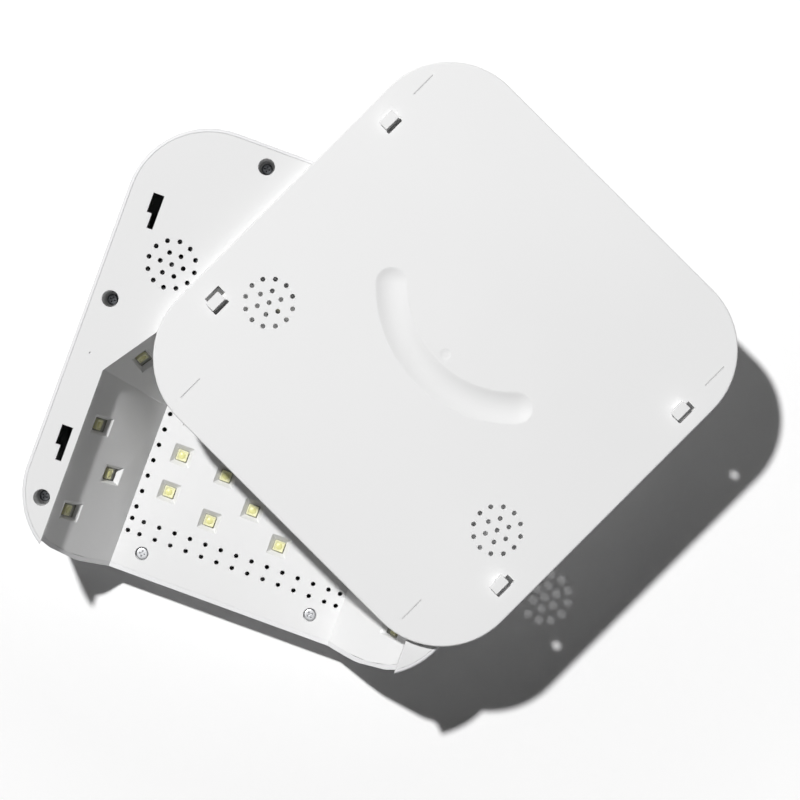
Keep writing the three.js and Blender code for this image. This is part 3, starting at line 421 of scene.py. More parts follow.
def spun(bm, profile, steps, x=0.0, y=0.0):
    verts = [bm.verts.new((x + r, y, z)) for r, z in profile]
    edges = [bm.edges.new(pair) for pair in zip(verts, verts[1:])]
    bmesh.ops.spin(
        bm, geom=verts + edges, cent=(x, y, 0), axis=(0, 0, 1), angle=2 * pi, steps=steps, use_merge=True
    )
    bmesh.ops.remove_doubles(bm, verts=bm.verts, dist=0.0005)


def addMesh(bm, mesh, matrix):
    before = set(bm.verts)
    bm.from_mesh(mesh)
    bmesh.ops.transform(bm, matrix=matrix, verts=[vert for vert in bm.verts if vert not in before])


def toMesh(bm, name, materials=()):
    mesh = bpy.data.meshes.new(name)
    bm.to_mesh(mesh)
    bm.free()
    for material in materials:
        mesh.materials.append(finishes[material])
    return mesh


def camelCase(node):
    first, *others = node.split("_")
    return first + "".join(word.capitalize() for word in others)


# Makes the piece that replaces a node, named after it unless it is given another name
def finishPiece(bm, node, materials, body="lamp", place=None, sharp=34, merge=0.002, name=None):
    name = name or camelCase(node)
    if place:
        bm.transform(place)
    bmesh.ops.remove_doubles(bm, verts=bm.verts, dist=merge)
    bmesh.ops.recalc_face_normals(bm, faces=bm.faces)
    bm.transform(Matrix.Scale(mm, 4))
    mesh = toMesh(bm, name, materials)
    mesh.shade_smooth()
    mesh.set_sharp_from_angle(angle=radians(sharp))
    piece = bpy.data.objects.new(name, mesh)
    bpy.context.scene.collection.objects.link(piece)
    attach(piece, body)
    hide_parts(node)
    return piece


def softEdges(piece, width, angle=35, segments=2):
    bevel = piece.modifiers.new("softEdges", "BEVEL")
    bevel.width = width * mm
    bevel.segments = segments
    bevel.limit_method = "ANGLE"
    bevel.angle_limit = radians(angle)
    bevel.use_clamp_overlap = True
    bevel.harden_normals = True


def steadyNormals(piece):
    weighted = piece.modifiers.new("steadyNormals", "WEIGHTED_NORMAL")
    weighted.keep_sharp = True


# Takes cutters, each a bmesh, out of a bmesh and gives the rest as a new one
def carved(bm, cutters):
    blank = bpy.data.objects.new("blank", toMesh(bm, "blank"))
    bpy.context.scene.collection.objects.link(blank)
    tools = []
    for cutter in cutters:
        bmesh.ops.recalc_face_normals(cutter, faces=cutter.faces)
        tool = bpy.data.objects.new("cutter", toMesh(cutter, "cutter"))
        bpy.context.scene.collection.objects.link(tool)
        carve = blank.modifiers.new("carve", "BOOLEAN")
        carve.operation = "DIFFERENCE"
        carve.solver = "EXACT"
        carve.object = tool
        tools.append(tool)
    bpy.context.view_layer.update()
    result = bmesh.new()
    result.from_object(blank, bpy.context.evaluated_depsgraph_get())
    for spare in [blank, *tools]:
        bpy.data.objects.remove(spare)
    return result


def centreOf(node):
    low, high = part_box(node)
    return (low + high) / 2 / mm


# The lamp's own sizes, in millimetres
shellLow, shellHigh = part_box("outer_shell")
lampSizes = {
    "width": (shellHigh.x - shellLow.x) / mm,
    "depth": (shellHigh.y - shellLow.y) / mm,
    "height": shellHigh.z / mm,
    "corner": 40,
    "cornerSteps": 16,
    "rim": 1.6,
    "rimRound": 0.9,
    "rimRoundSteps": 5,
    "innerRimRound": 0.1,
    "gap": 0.3,
    "joint": 0.08,  # the plate's hairline gap to the shell's rim
    "plate": 2.4,
    "wall": 2.2,
    "top": 2.6,
    "crownHeight": 16,
    "crownRun": 17,
    "crownSteps": 12,
    "draft": 1.2,
    "softEdge": 0.35,
    "socketHole": 4.2,
    "socketHoleLength": 20,
    "overrun": 5,  # how far the cutters reach past the lamp
}
cavitySizes = {
    "mouthHalf": 90,
    "mouthRear": 46,
    "mouthCorner": -16.5,
    "ceiling": 26,
    "run": 33.1,
    "cornerRunShare": 0.97,
    "cornerTurn": radians(55.3),
    "lip": 0.5,  # how far the plate stands out over the mouth's line
    "wallTop": 79.5,  # the walls lean between these levels and stand upright above them
    "wallFoot": 24,
    "armEnd": [(-90, -104.4), (-57, -111)],  # a flat across each arm's front, under the lip
    "armEndOut": 3.4,  # it runs out by this towards the floor
    "stepRoom": 1,  # keeps the lip's ring and the mouth's apart at the front
}
plateBottom = lampSizes["height"] - lampSizes["plate"]


def footprint(inset):
    return roundedBox(
        lampSizes["width"] - 2 * inset,
        lampSizes["depth"] - 2 * inset,
        lampSizes["corner"] - inset,
        lampSizes["cornerSteps"],
    )


# How far a leaning wall stands in from the mouth's edge at a height
def leanAt(z):
    c = cavitySizes
    return c["run"] * (c["wallTop"] - z) / (c["wallTop"] - c["wallFoot"])


# The same in the frame, where the walls reach up to the mouth's own line
def leanFrame(z):
    height = lampSizes["height"]
    return cavitySizes["run"] * (height - z) / (height - cavitySizes["ceiling"])


# Takes the frame's walls, and what is on them, back under the lip
def wallsBack():
    c = cavitySizes
    share = (c["wallTop"] - c["wallFoot"]) / (lampSizes["height"] - c["ceiling"])
    place = Matrix.Translation((0, 0, c["wallFoot"] - share * c["ceiling"]))
    return place @ Matrix.Scale(share, 4, (0, 0, 1))


def cavityCorners(inset):
    c = cavitySizes
    turn, share = c["cornerTurn"], c["cornerRunShare"]
    sideShift = (sin(turn) - share) / cos(turn)
    rearShift = (share - cos(turn)) / sin(turn)
    rearHalf = c["mouthHalf"] - (c["mouthRear"] - c["mouthCorner"]) / tan(turn)
    side = (c["mouthHalf"] - inset, c["mouthCorner"] + sideShift * inset)
    rear = (rearHalf - rearShift * inset, c["mouthRear"] - inset)
    return side, rear


def cavityOutline(inset, front):
    side, rear = cavityCorners(inset)
    right = [(side[0], front), side, rear]
    return right + [(-x, y) for x, y in reversed(right)]


# Outer shell, with its top face down on the floor
controls = {
    "width": 104,
    "depth": 58,
    "corner": 8,
    "y": -35,
    "sunk": 0.8,
    "edge": 0.35,
    "window": (36, 17),
    "windowCorner": 2,
    "buttonHole": 5.5,
    "buttonHoleSides": 40,
}


def shellRings(floor, wall, steps):
    s = lampSizes
    rings = []
    for i in range(steps + 1):
        angle = radians(90 * i / steps)
        z = s["crownHeight"] - (s["crownHeight"] - floor) * cos(angle)
        rings.append((z, footprint(wall + s["draft"] + s["crownRun"] * (1 - sin(angle)))))
    return rings


buttonMarks = {  # how many dots, and the moving body
    "timer_button_1": (1, "timer_button_a"),
    "timer_button_2": (2, "timer_button_b"),
    "timer_button_3": (3, "timer_button_c"),
    "power_button": (0, "power_key"),
}
windowCentre = centreOf("display_window")
windowOutline = growingBox(*controls["window"], controls["windowCorner"], 5, *windowCentre.xy)


# Up the outside, over the rim and down the inside, with the control field's openings
def shellBody():
    s, c = lampSizes, controls
    bm = bmesh.new()
    rim = roundedEdge(footprint, s["height"], s["rimRound"], s["rimRoundSteps"])
    innerRim = roundedEdge(lambda inset: footprint(s["rim"] - inset), s["height"], s["innerRimRound"], 2)
    ledge = plateBottom - s["gap"]
    outside = shellRings(0, 0, s["crownSteps"]) + rim[::-1]
    inside = innerRim + [(ledge, footprint(s["rim"])), (ledge, footprint(s["wall"]))]
    chain = outside + inside + shellRings(s["top"], s["wall"], s["crownSteps"])[::-1]
    outerFace, innerFace = ringChain(bm, chain)
    recess = growingBox(c["width"], c["depth"], c["corner"], 8, 0, c["y"])
    recessRings = roundedEdge(recess, 0, c["edge"], 3, 1) + [(c["sunk"], recess(0))]
    recessTop, recessFloor = ringChain(bm, recessRings)
    openings = [lambda grow: windowOutline(grow + s["gap"])]
    for centre in map(centreOf, buttonMarks):
        openings.append(growingCircle(*centre.xy, c["buttonHole"], c["buttonHoleSides"]))
    upper, lower = [], []
    for opening in openings:
        rings = roundedEdge(opening, c["sunk"], c["edge"], 3, 1) + [(s["top"], opening(0))]
        start, end = ringChain(bm, rings)
        upper.append(start)
        lower.append(end)
    fillFlat(bm, outerFace, recessTop)
    fillFlat(bm, recessFloor, *upper)
    fillFlat(bm, innerFace, *lower)
    bmesh.ops.recalc_face_normals(bm, faces=bm.faces)
    return bm


def mouthCutter():
    s, c = lampSizes, cavitySizes
    front = -s["depth"] / 2 - s["overrun"]
    farFront = front - c["stepRoom"]
    return ringBody([
        (c["ceiling"], cavityOutline(leanAt(c["ceiling"]), farFront)),
        (c["wallTop"], cavityOutline(0, farFront)),
        (plateBottom, cavityOutline(0, farFront)),
        (plateBottom, cavityOutline(c["lip"], front)),
        (s["height"] + s["overrun"], cavityOutline(c["lip"], front)),
    ])


def armEndCutter(side):
    c = cavitySizes
    tip, foot = c["armEnd"]
    front = -lampSizes["depth"] / 2 - 2 * lampSizes["overrun"]
    rings = []
    for z, out in ((c["ceiling"], c["armEndOut"]), (plateBottom, 0)):
        flat = [(tip[0], tip[1] - out), (foot[0], foot[1] - out), (foot[0], front), (tip[0], front)]
        rings.append((z, [(side * x, y) for x, y in flat]))
    return ringBody(rings)


def socketCutter():
    s = lampSizes
    height = centreOf("charge_socket").z
    place = Matrix.Translation((0, s["depth"] / 2, height)) @ Matrix.Rotation(radians(90), 4, "X")
    bm = bmesh.new()
    bmesh.ops.create_cone(
        bm, cap_ends=True, segments=largeRound, radius1=s["socketHole"], radius2=s["socketHole"],
        depth=s["socketHoleLength"], matrix=place,
    )
    return bm


def buildOuterShell():
    cutters = [mouthCutter(), socketCutter(), armEndCutter(1), armEndCutter(-1)]
    rest = carved(shellBody(), cutters)
    piece = finishPiece(rest, "outer_shell", ["shell"], sharp=40, merge=0.0001)
    softEdges(piece, lampSizes["softEdge"], 50, 3)
    steadyNormals(piece)


buildOuterShell()
print("outer shell built")


# Underside plate, with its screw wells, fan grilles and the slots for the tray's hooks
plateSizes = {
    "edge": 0.15,
    "holeEdge": 0.25,
    "wellRadius": 3.95,
    "wellWall": 1.2,
    "wellDepth": 18,
    "wellFloor": 1.6,
    "wellChamfer": 0.4,
    "screwHole": 1.6,
    "grilleHole": 1.15,
    "grilleEdge": 0.15,
    "grilleRings": [(0, 1, 0), (5.75, 6, 30), (11.45, 12, 0)],
    "slots": [(90.396, 53.946), (93.402, -64.047)],
    "slotNarrow": (2.8, 7.2),
    "slotWide": (5.3, 9.6),
    "pipPlace": (-98.1, -10.9),
    "pip": [(0.5, 0), (0.4, 1.2)],  # its radius and depth
}


def grillePlaces(x, y):
    for radius, count, turn in plateSizes["grilleRings"]:
        for i in range(count):
            angle = radians(turn + 360 * i / count)
            yield x + radius * sin(angle), y + radius * cos(angle)


def grilleHoles(x, y, top, bottom):
    p = plateSizes
    for place in grillePlaces(x, y):
        outline = growingCircle(*place, p["grilleHole"], smallRound)
        yield throughHole(outline, top, bottom, p["grilleEdge"])


def slotOutline(x, y, side, grow):
    narrow, wide = plateSizes["slotNarrow"], plateSizes["slotWide"]
    step, rear = y + narrow[1], y + narrow[1] + wide[1]
    points = [
        (x - grow, y - grow), (x + narrow[0] + grow, y - grow), (x + narrow[0] + grow, step - grow),
        (x + wide[0] + grow, step - grow), (x + wide[0] + grow, rear + grow), (x - grow, rear + grow),
    ]
    return [(side * a, b) for a, b in points]


# The plate's outline, with the hand cavity's mouth open to the front
def plateOutline(inset):
    s = lampSizes
    radius = s["corner"] - s["rim"] - s["joint"] - inset
    side, rear = cavityCorners(cavitySizes["lip"] - inset)
    centreX, centreY = s["width"] / 2 - s["corner"], s["depth"] / 2 - s["corner"]
    start = -degrees(acos((side[0] - centreX) / radius))
    steps = s["cornerSteps"]
    frontCorner = arc(centreX, -centreY, radius, start, 0, steps)
    right = [side] + frontCorner + arc(centreX, centreY, radius, 0, 90, steps)
    left = [(-x, y) for x, y in reversed(right)]
    return right + left + [(-rear[0], rear[1]), rear]


def wellRings(x, y):
    p = plateSizes
    bottom = lampSizes["height"] - p["wellDepth"]
    under = bottom - p["wellFloor"]
    radius, hole, chamfer = p["wellRadius"], p["screwHole"], p["wellChamfer"]
    outerRadius = radius + p["wellWall"]
    profile = [
        (bottom + chamfer, radius), (bottom, radius - chamfer), (bottom, hole), (under, hole),
        (under, outerRadius), (plateBottom, outerRadius),
    ]
    mouth = growingCircle(x, y, radius, middleRound)
    edge = roundedEdge(mouth, lampSizes["height"], p["holeEdge"], 2)
    return edge + [(z, circle(x, y, r, middleRound)) for z, r in profile]


screwCounts = {"case": 6, "ceiling": 2}


def screwNodes(kind):
    return [f"{kind}_screw_{i}" for i in range(1, screwCounts[kind] + 1)]


def buildUndersidePlate():
    p, top = plateSizes, lampSizes["height"]
    outside = roundedEdge(plateOutline, top, p["edge"], 3)
    outside.append((plateBottom, plateOutline(0)))
    holes = [wellRings(centre.x, centre.y) for centre in map(centreOf, screwNodes("case"))]
    for x, y in p["slots"]:
        for side in (-1, 1):
            rings = throughHole(lambda grow: slotOutline(x, y, side, grow), top, plateBottom, p["holeEdge"])
            holes.append(rings)
    for side in ("left", "right"):
        centre = centreOf(side + "_fan_frame")
        holes += grilleHoles(centre.x, centre.y, top, plateBottom)
    pip = [(top - deep, circle(*p["pipPlace"], radius, smallRound)) for radius, deep in p["pip"]]
    bm = ringBody(outside, holes, [pip])
    piece = finishPiece(bm, "bottom_plate", ["underside"], name="undersidePlate")
    steadyNormals(piece)


buildUndersidePlate()
print("underside plate built")


# A CAD node's mesh, merged and with its flat faces whole, in millimetres
weldDistance, flatAngle = 0.01, 0.6


def merged(node):
    bm = bmesh.new()
    bm.from_mesh(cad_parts[node].data)
    bm.transform(Matrix.Scale(1 / mm, 4))
    bmesh.ops.remove_doubles(bm, verts=bm.verts, dist=weldDistance)
    bm.normal_update()
    bmesh.ops.dissolve_limit(bm, angle_limit=radians(flatAngle), verts=bm.verts, edges=bm.edges)
    bm.normal_update()
    return bm


# Chips and their boards; places are read off the frame's own chips
chipSizes = {
    "size": 5.2,
    "height": 1.6,
    "chamfer": 0.4,
    "corner": 0.5,
    "edge": 0.15,
    "well": (4.3, 4.0),  # across its mouth and its floor
    "wellCorner": (0.6, 0.5),
    "wellDepth": 0.2,
    "lens": 1.7,
    "lensRise": 0.42,
    "lensSunk": 0.05,
    "lensSteps": 5,
    "lensSides": 20,
    "boardGap": 0.02,
    "areaPlay": 0.03,  # how far from a chip's own area a face may be and still be taken for one
}
linerSizes = {
    "wall": 2.6,
    "chipSunk": 1.3,
    "mouthLonger": 4.0,  # how far the windows' lower edges are brought down the wall
    "holeLonger": 4.6,
    "boardLonger": 2.6,
    "boardEnd": 2.0,
    "windowReach": (2.5, 6.5),
    "windowHalf": 5.0,
    "top": 88.4,
    "edge": 0.3,
    "levelPlay": 0.1,
    "cornerPlay": 1,
    "sameWay": 0.999,  # the least product of two normals that count as one
}


def chipMesh():
    c = chipSizes

    def body(inset):
        return roundedBox(c["size"] - 2 * inset, c["size"] - 2 * inset, c["corner"])

    (mouth, floor), depth = c["well"], c["wellDepth"]
    well = [
        (0, roundedBox(mouth, mouth, c["wellCorner"][0])),
        (-depth, roundedBox(floor, floor, c["wellCorner"][1])),
    ]
    bm = ringBody(roundedEdge(body, 0, c["edge"], 2) + [(-c["height"], body(0))], pockets=[well])
    for face in bm.faces:
        face.material_index = 1
    before = set(bm.faces)
    under = -depth - c["lensSunk"]
    lens = [(0, under), (c["lens"], under)] + domed(c["lens"], c["lensRise"], -depth, c["lensSteps"])
    spun(bm, lens, c["lensSides"])
    for face in bm.faces:
        if face not in before:
            face.material_index = 2
    bmesh.ops.recalc_face_normals(bm, faces=bm.faces)
    return toMesh(bm, "chip")


def chipPlaces(node):
    bm = merged(node)
    area = (chipSizes["size"] - 2 * chipSizes["chamfer"]) ** 2
    places = []
    for face in bm.faces:
        if len(face.verts) == 4 and abs(face.calc_area() / area - 1) < chipSizes["areaPlay"]:
            along = (face.verts[1].co - face.verts[0].co).normalized()
            across = face.normal.cross(along)
            place = Matrix((along, across, face.normal)).transposed().to_4x4()
            place.translation = face.calc_center_median()
            places.append(place)
    bm.free()
    return places


def buildLampBoard(side, chip):
    node = side + "_led_board"
    places = chipPlaces(node)
    bm = merged(node)
    normal = places[0].to_3x3() @ Vector((0, 0, 1))
    level = places[0].translation - normal * (chipSizes["height"] + chipSizes["boardGap"])
    geometry = bm.verts[:] + bm.edges[:] + bm.faces[:]
    cut = bmesh.ops.bisect_plane(bm, geom=geometry, plane_co=level, plane_no=normal, clear_outer=True)
    rim = [edge for edge in cut["geom_cut"] if isinstance(edge, bmesh.types.BMEdge)]
    bmesh.ops.triangle_fill(bm, use_beauty=True, edges=rim, normal=normal)
    onWall = side != "ceiling"
    if onWall:  # a wall's board goes on under the longer windows
        lowest = min(vert.co.z for vert in bm.verts)
        down = (normal * normal.z - Vector((0, 0, 1))).normalized()
        for vert in bm.verts:
            if vert.co.z < lowest + linerSizes["boardEnd"]:
                vert.co += down * linerSizes["boardLonger"]
    for place in places:
        addMesh(bm, chip, place)
    place = wallsBack() if onWall else None
    name = camelCase(side + "_lamp_board")
    # The board's grey finish is painted shade for the dark inside the windows
    finishPiece(bm, node, ["lampBoard", "phosphor", "chipLens"], place=place, name=name)
    print(name, len(places), "chips")


wallSides = ["left", "right", "left_corner", "right_corner", "rear"]
chip = chipMesh()
for boardSide in ["ceiling"] + wallSides:
    buildLampBoard(boardSide, chip)
print("lamp boards built")


# Reflector liner: the frame's leaning walls, with moulded edges and longer windows
def lengthenWindow(bm, centre, normal, down):
    s = linerSizes
    nearest, furthest = s["windowReach"]
    for vert in bm.verts:
        offset = vert.co - centre
        reach, height = offset.dot(down), offset.dot(normal)
        aside = (offset - reach * down - height * normal).length
        if aside < s["windowHalf"] and nearest < reach < furthest and abs(height) < s["wall"]:
            vert.co += down * (s["mouthLonger"] if height > 0 else s["holeLonger"])


# Clears one flat side of a wall and fills it again around the windows as they are now
def refillWall(bm, centre, normal, level):
    middle = centre + normal * level
    outward = normal if level > 0 else -normal
    flat = [
        face for face in bm.faces
        if face.normal.dot(outward) > linerSizes["sameWay"]
        and abs((face.calc_center_median() - middle).dot(normal)) < linerSizes["levelPlay"]
    ]
    bmesh.ops.delete(bm, geom=flat, context="FACES")
    rim = [edge for edge in bm.edges if edge.is_boundary]
    bmesh.ops.triangle_fill(bm, use_beauty=True, edges=rim, normal=outward)


# Takes the walls' top edges on up their slope to the mouth's line, after the walls have been set back
def raiseTops(tops):
    lamp, play = lampSizes, linerSizes["cornerPlay"]
    line = leanFrame(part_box("reflector_liner")[1].z / mm)
    side, rear = cavityCorners(line)
    sideUp, rearUp = cavityCorners(0)
    centreX, centreY = lamp["width"] / 2 - lamp["corner"], lamp["corner"] - lamp["depth"] / 2
    for vert in tops:
        x, y = abs(vert.co.x), vert.co.y
        way = 1 if vert.co.x > 0 else -1
        if hypot(x - side[0], y - side[1]) < play:
            x, y = sideUp
        elif hypot(x - rear[0], y - rear[1]) < play:
            x, y = rearUp
        elif x < side[0] + play and y < side[1] - play:  # the front end, along the corner's round
            radius = hypot(x - centreX, y - centreY)
            x += line
            y = centreY - sqrt(radius ** 2 - (x - centreX) ** 2)
        vert.co = (way * x, y, cavitySizes["wallTop"])


# Upright band from the walls' top edges to the plate
def addCollar(bm, rims):
    edges = {edge for face in rims for edge in face.edges}
    verts = {vert for face in rims for vert in face.verts}
    raised = bmesh.ops.extrude_face_region(bm, geom=[*rims, *edges, *verts])["geom"]
    for vert in raised:
        if isinstance(vert, bmesh.types.BMVert):
            vert.co.z = linerSizes["top"]


def buildReflectorLiner():
    s = linerSizes
    bm = merged("reflector_liner")
    for side in wallSides:
        places = chipPlaces(side + "_led_board")
        normal = places[0].to_3x3() @ Vector((0, 0, 1))
        down = (normal * normal.z - Vector((0, 0, 1))).normalized()
        for place in places:
            lengthenWindow(bm, place.translation, normal, down)
        for level in (s["chipSunk"], s["chipSunk"] - s["wall"]):
            refillWall(bm, places[0].translation, normal, level)
    high = max(vert.co.z for vert in bm.verts)
    rims = [face for face in bm.faces if face.calc_center_median().z > high - s["levelPlay"]]
    bm.transform(wallsBack())
    raiseTops({vert for face in rims for vert in face.verts})
    addCollar(bm, rims)
    # Its finish is paler than the ceiling panel's white, as painted light on the steep walls
    piece = finishPiece(bm, "reflector_liner", ["wall"], sharp=30)
    softEdges(piece, s["edge"], 28, 3)


buildReflectorLiner()
print("reflector liner built")


# Ceiling panel, with tapered chip windows, air holes and counterbored screw holes
panelSizes = {
    "thickness": 2.6,
    "lap": 3,
    "window": (9.7, 6.2),  # across its mouth and its hole
    "windowCorner": 0.5,
    "windowEdge": 0.45,
    "outerEdge": 0.3,
    "airHole": 1.15,
    "airHoleEdge": 0.15,
    "airEdge": 1.6,
    "airEndPitch": 6.15,
    "airRows": 2,
    "airRowHalf": 6,
    "airRowFront": 21.1,
    "airRowPitch": 6.4,
    "counterbore": 3.35,
    "counterboreDepth": 2.2,
    "counterboreEdge": 0.25,
    "screwHole": 1.6,
}


def airHolePlaces():
    p = panelSizes
    column = cavitySizes["mouthHalf"] - cavitySizes["run"] - p["airEdge"]
    pitch = (column - p["airEndPitch"]) / p["airRowHalf"]
    front = p["airRowFront"] - lampSizes["depth"] / 2
    for row in range(p["airRows"]):
        y = front + row * p["airRowPitch"]
        across = [i * pitch for i in range(-p["airRowHalf"], p["airRowHalf"] + 1)]
        yield from [(x, y) for x in [-column, *across, column]]
    y = front + p["airRowPitch"] + p["airEndPitch"]
    while y <= cavityCorners(cavitySizes["run"])[0][1]:
        yield from [(-column, y), (column, y)]
        y += pitch


def buildCeilingPanel():
    p, top = panelSizes, cavitySizes["ceiling"]
    bottom = top - p["thickness"]
    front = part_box("ceiling_panel")[0].y / mm
    inset = cavitySizes["run"] - p["lap"]
    outside = roundedEdge(lambda edge: cavityOutline(inset + edge, front + edge), top, p["outerEdge"], 2)
    outside.append((bottom, cavityOutline(inset, front)))
    holes = []
    for place in chipPlaces("ceiling_led_board"):
        x, y = place.translation.xy
        mouth, hole = (growingBox(size, size, p["windowCorner"], 3, x, y) for size in p["window"])
        holes.append(roundedEdge(mouth, top, p["windowEdge"], 3) + [(bottom, hole(0))])
    for x, y in airHolePlaces():
        outline = growingCircle(x, y, p["airHole"], smallRound)
        holes.append(throughHole(outline, top, bottom, p["airHoleEdge"]))
    seat = top - p["counterboreDepth"]
    for centre in map(centreOf, screwNodes("ceiling")):
        bore = growingCircle(*centre.xy, p["counterbore"], middleRound)
        hole = circle(*centre.xy, p["screwHole"], middleRound)
        rings = throughHole(bore, top, seat, p["counterboreEdge"])
        holes.append(rings + [(seat, hole), (bottom, hole)])
    bm = ringBody(outside, holes)
    piece = finishPiece(bm, "ceiling_panel", ["reflector"])
    steadyNormals(piece)


buildCeilingPanel()
print("ceiling panel built")


# Screws: a domed head with a cross recess on a plain shank
screwSizes = {
    # The case screws take a darker steel, painted shade for their heads at the bottom of the deep wells
    "case": {"head": 2.7, "rise": 2.0, "sunk": 0, "finish": "paintedShadeSteel"},
    "ceiling": {"head": 3.0, "rise": 0.9, "sunk": 0.75, "finish": "steel"},
}
screwShares = {
    "flat": 0.68,  # of the head's radius
    "dome": 0.45,  # of the head's rise
    "cross": [(0.55, 0.13), (0.28, 0.08)],  # reach and half width at its mouth and floor, of the radius
    "crossDepth": 0.75,  # of the head's rise
}
screwShank = {"radius": 1.3, "point": 0.3, "pointLength": 1.3, "domeSteps": 5}
screwTurn = (0.9, 0.7)  # each stopped at its own angle, in radians


def crossOutline(reach, half):
    corner = [(reach, half), (half, half), (half, reach)]
    points = []
    for turn in range(4):
        c, s = round(cos(turn * pi / 2)), round(sin(turn * pi / 2))
        points += [(x * c - y * s, x * s + y * c) for x, y in corner]
    return points


def screwMesh(sizes, length):
    head, rise, shares, shank = sizes["head"], sizes["rise"], screwShares, screwShank
    flat = head * shares["flat"]
    profile = []
    for i in range(shank["domeSteps"] + 1):
        angle = radians(90 * i / shank["domeSteps"])
        profile.append((rise * shares["dome"] * (cos(angle) - 1), flat + (head - flat) * sin(angle)))
    profile += [(-rise, head), (-rise, shank["radius"])]
    profile += [(-length + shank["pointLength"], shank["radius"]), (-length, shank["point"])]
    mouth, floor = (crossOutline(head * reach, head * half) for reach, half in shares["cross"])
    recess = [(0, mouth), (-rise * shares["crossDepth"], floor)]
    return ringBody([(z, circle(0, 0, radius, middleRound)) for z, radius in profile], pockets=[recess])


def buildScrews():
    for kind, sizes in screwSizes.items():
        for i, node in enumerate(screwNodes(kind), 1):
            low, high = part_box(node)
            centre, top = centreOf(node), high.z / mm - sizes["sunk"]
            bm = screwMesh(sizes, top - low.z / mm)
            turn = Matrix.Rotation(screwTurn[0] + screwTurn[1] * i, 4, "Z")
            place = Matrix.Translation((centre.x, centre.y, top)) @ turn
            finishPiece(bm, node, [sizes["finish"]], place=place)


buildScrews()
print("screws built")


# Buttons: dished caps, three marked with raised dots and one with a raised ring
buttonSizes = {
    "radius": 5.2,
    "edge": 0.5,
    "flangeBottom": 2.9,
    "flangeTop": 3.9,
    "stem": 1.5,
    "dish": 4.3,
    "dishDepth": 0.3,
    "dishSteps": 4,
    "dishTaper": 0.35,
    "markRise": 0.22,
    "markSunk": 0.05,
    "dot": 0.42,
    "dotPitch": 1.7,
    "dotSteps": 4,
    "ring": 1.5,
    "ringWidth": 0.35,
    "ringSides": 40,
}


def addDots(bm, centre, level, count):
    b = buttonSizes
    under = level + b["markSunk"]
    dot = [(0, under), (b["dot"], under)] + domed(b["dot"], -b["markRise"], level, b["dotSteps"])
    for i in range(count):
        spun(bm, dot, smallRound, centre.x + (i - (count - 1) / 2) * b["dotPitch"], centre.y)


def addRing(bm, centre, level):
    b = buttonSizes
    inner, outer = b["ring"], b["ring"] + b["ringWidth"]
    low, high = level - b["markRise"], level + b["markSunk"]
    profile = [(inner, high), (inner, low), (outer, low), (outer, high), (inner, high)]
    spun(bm, profile, b["ringSides"], centre.x, centre.y)


def buildButtons():
    b = buttonSizes
    for node, (dots, body) in buttonMarks.items():
        centre = centreOf(node)
        low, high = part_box(node)
        face, flange, top = low.z / mm, (high.x - low.x) / 2 / mm, high.z / mm

        def ring(radius):
            return circle(*centre.xy, radius, largeRound)

        rings = roundedEdge(lambda inset: ring(b["radius"] - inset), face, b["edge"], 4, 1)
        rings += [(b["flangeBottom"], ring(b["radius"])), (b["flangeBottom"], ring(flange))]
        rings += [(b["flangeTop"], ring(flange)), (b["flangeTop"], ring(b["stem"])), (top, ring(b["stem"]))]
        dish = []
        for i in range(b["dishSteps"] + 1):
            dish.append((face + b["dishDepth"] * i / b["dishSteps"], ring(b["dish"] - b["dishTaper"] * i)))
        bm = ringBody(rings, pockets=[dish])
        floor = face + b["dishDepth"]
        if dots:
            addDots(bm, centre, floor, dots)
        else:
            addRing(bm, centre, floor)
        finishPiece(bm, node, ["button"], body)


buildButtons()
print("buttons built")


# Display window, charging socket
windowSizes = {"play": 0.3, "edge": 0.3, "flangeBottom": 2.9, "flangeCorner": 2}
socketSizes = {
    "depth": 2.2,  # from the shell's face to the flange
    "mouth": (3.65, 3.45, 3.0, 2.75),
    "mouthRound": 0.25,
    "bore": 9,
    "pin": 1.0,
    "pinTip": 0.6,
    "pinDepth": (1.4, 1.0),
    "barrel": 3.9,
    "flange": 6,
    "flangeThickness": 1.5,
    "body": 5,
}


def buildDisplayWindow():
    w = windowSizes
    low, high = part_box("display_window")
    size = (high - low) / mm
    flange = roundedBox(size.x, size.y, w["flangeCorner"], 5, *windowCentre.xy)
    rings = roundedEdge(lambda inset: windowOutline(-w["play"] - inset), low.z / mm, w["edge"], 3, 1)
    rings += [(w["flangeBottom"], windowOutline(-w["play"])), (w["flangeBottom"], flange)]
    rings.append((high.z / mm, flange))
    finishPiece(ringBody(rings), "display_window", ["window"])


# Spun about its own axis: behind, round the flange, over the mouth's rim and down the bore to the pin
def buildChargeSocket():
    s = socketSizes
    low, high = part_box("charge_socket")
    length, flange = (high.y - low.y) / mm, -s["depth"]
    back = flange - s["flangeThickness"]
    outer, rimOuter, rimInner, inner = s["mouth"]
    pin, (shoulder, tip) = s["pin"], s["pinDepth"]
    edge = -s["mouthRound"]
    profile = [
        (0, -length), (s["body"], -length), (s["body"], back), (s["flange"], back), (s["flange"], flange),
        (s["barrel"], flange), (s["barrel"], edge), (outer, edge), (rimOuter, 0), (rimInner, 0),
        (inner, edge), (inner, -s["bore"]), (pin, -s["bore"]), (pin, -shoulder), (s["pinTip"], -tip),
        (0, -tip),
    ]
    bm = bmesh.new()
    spun(bm, profile, largeRound)
    place = Matrix.Translation((0, high.y / mm, centreOf("charge_socket").z))
    place @= Matrix.Rotation(radians(-90), 4, "X")
    finishPiece(bm, "charge_socket", ["socket"], place=place)


buildDisplayWindow()
buildChargeSocket()
print("display window and charging socket built")


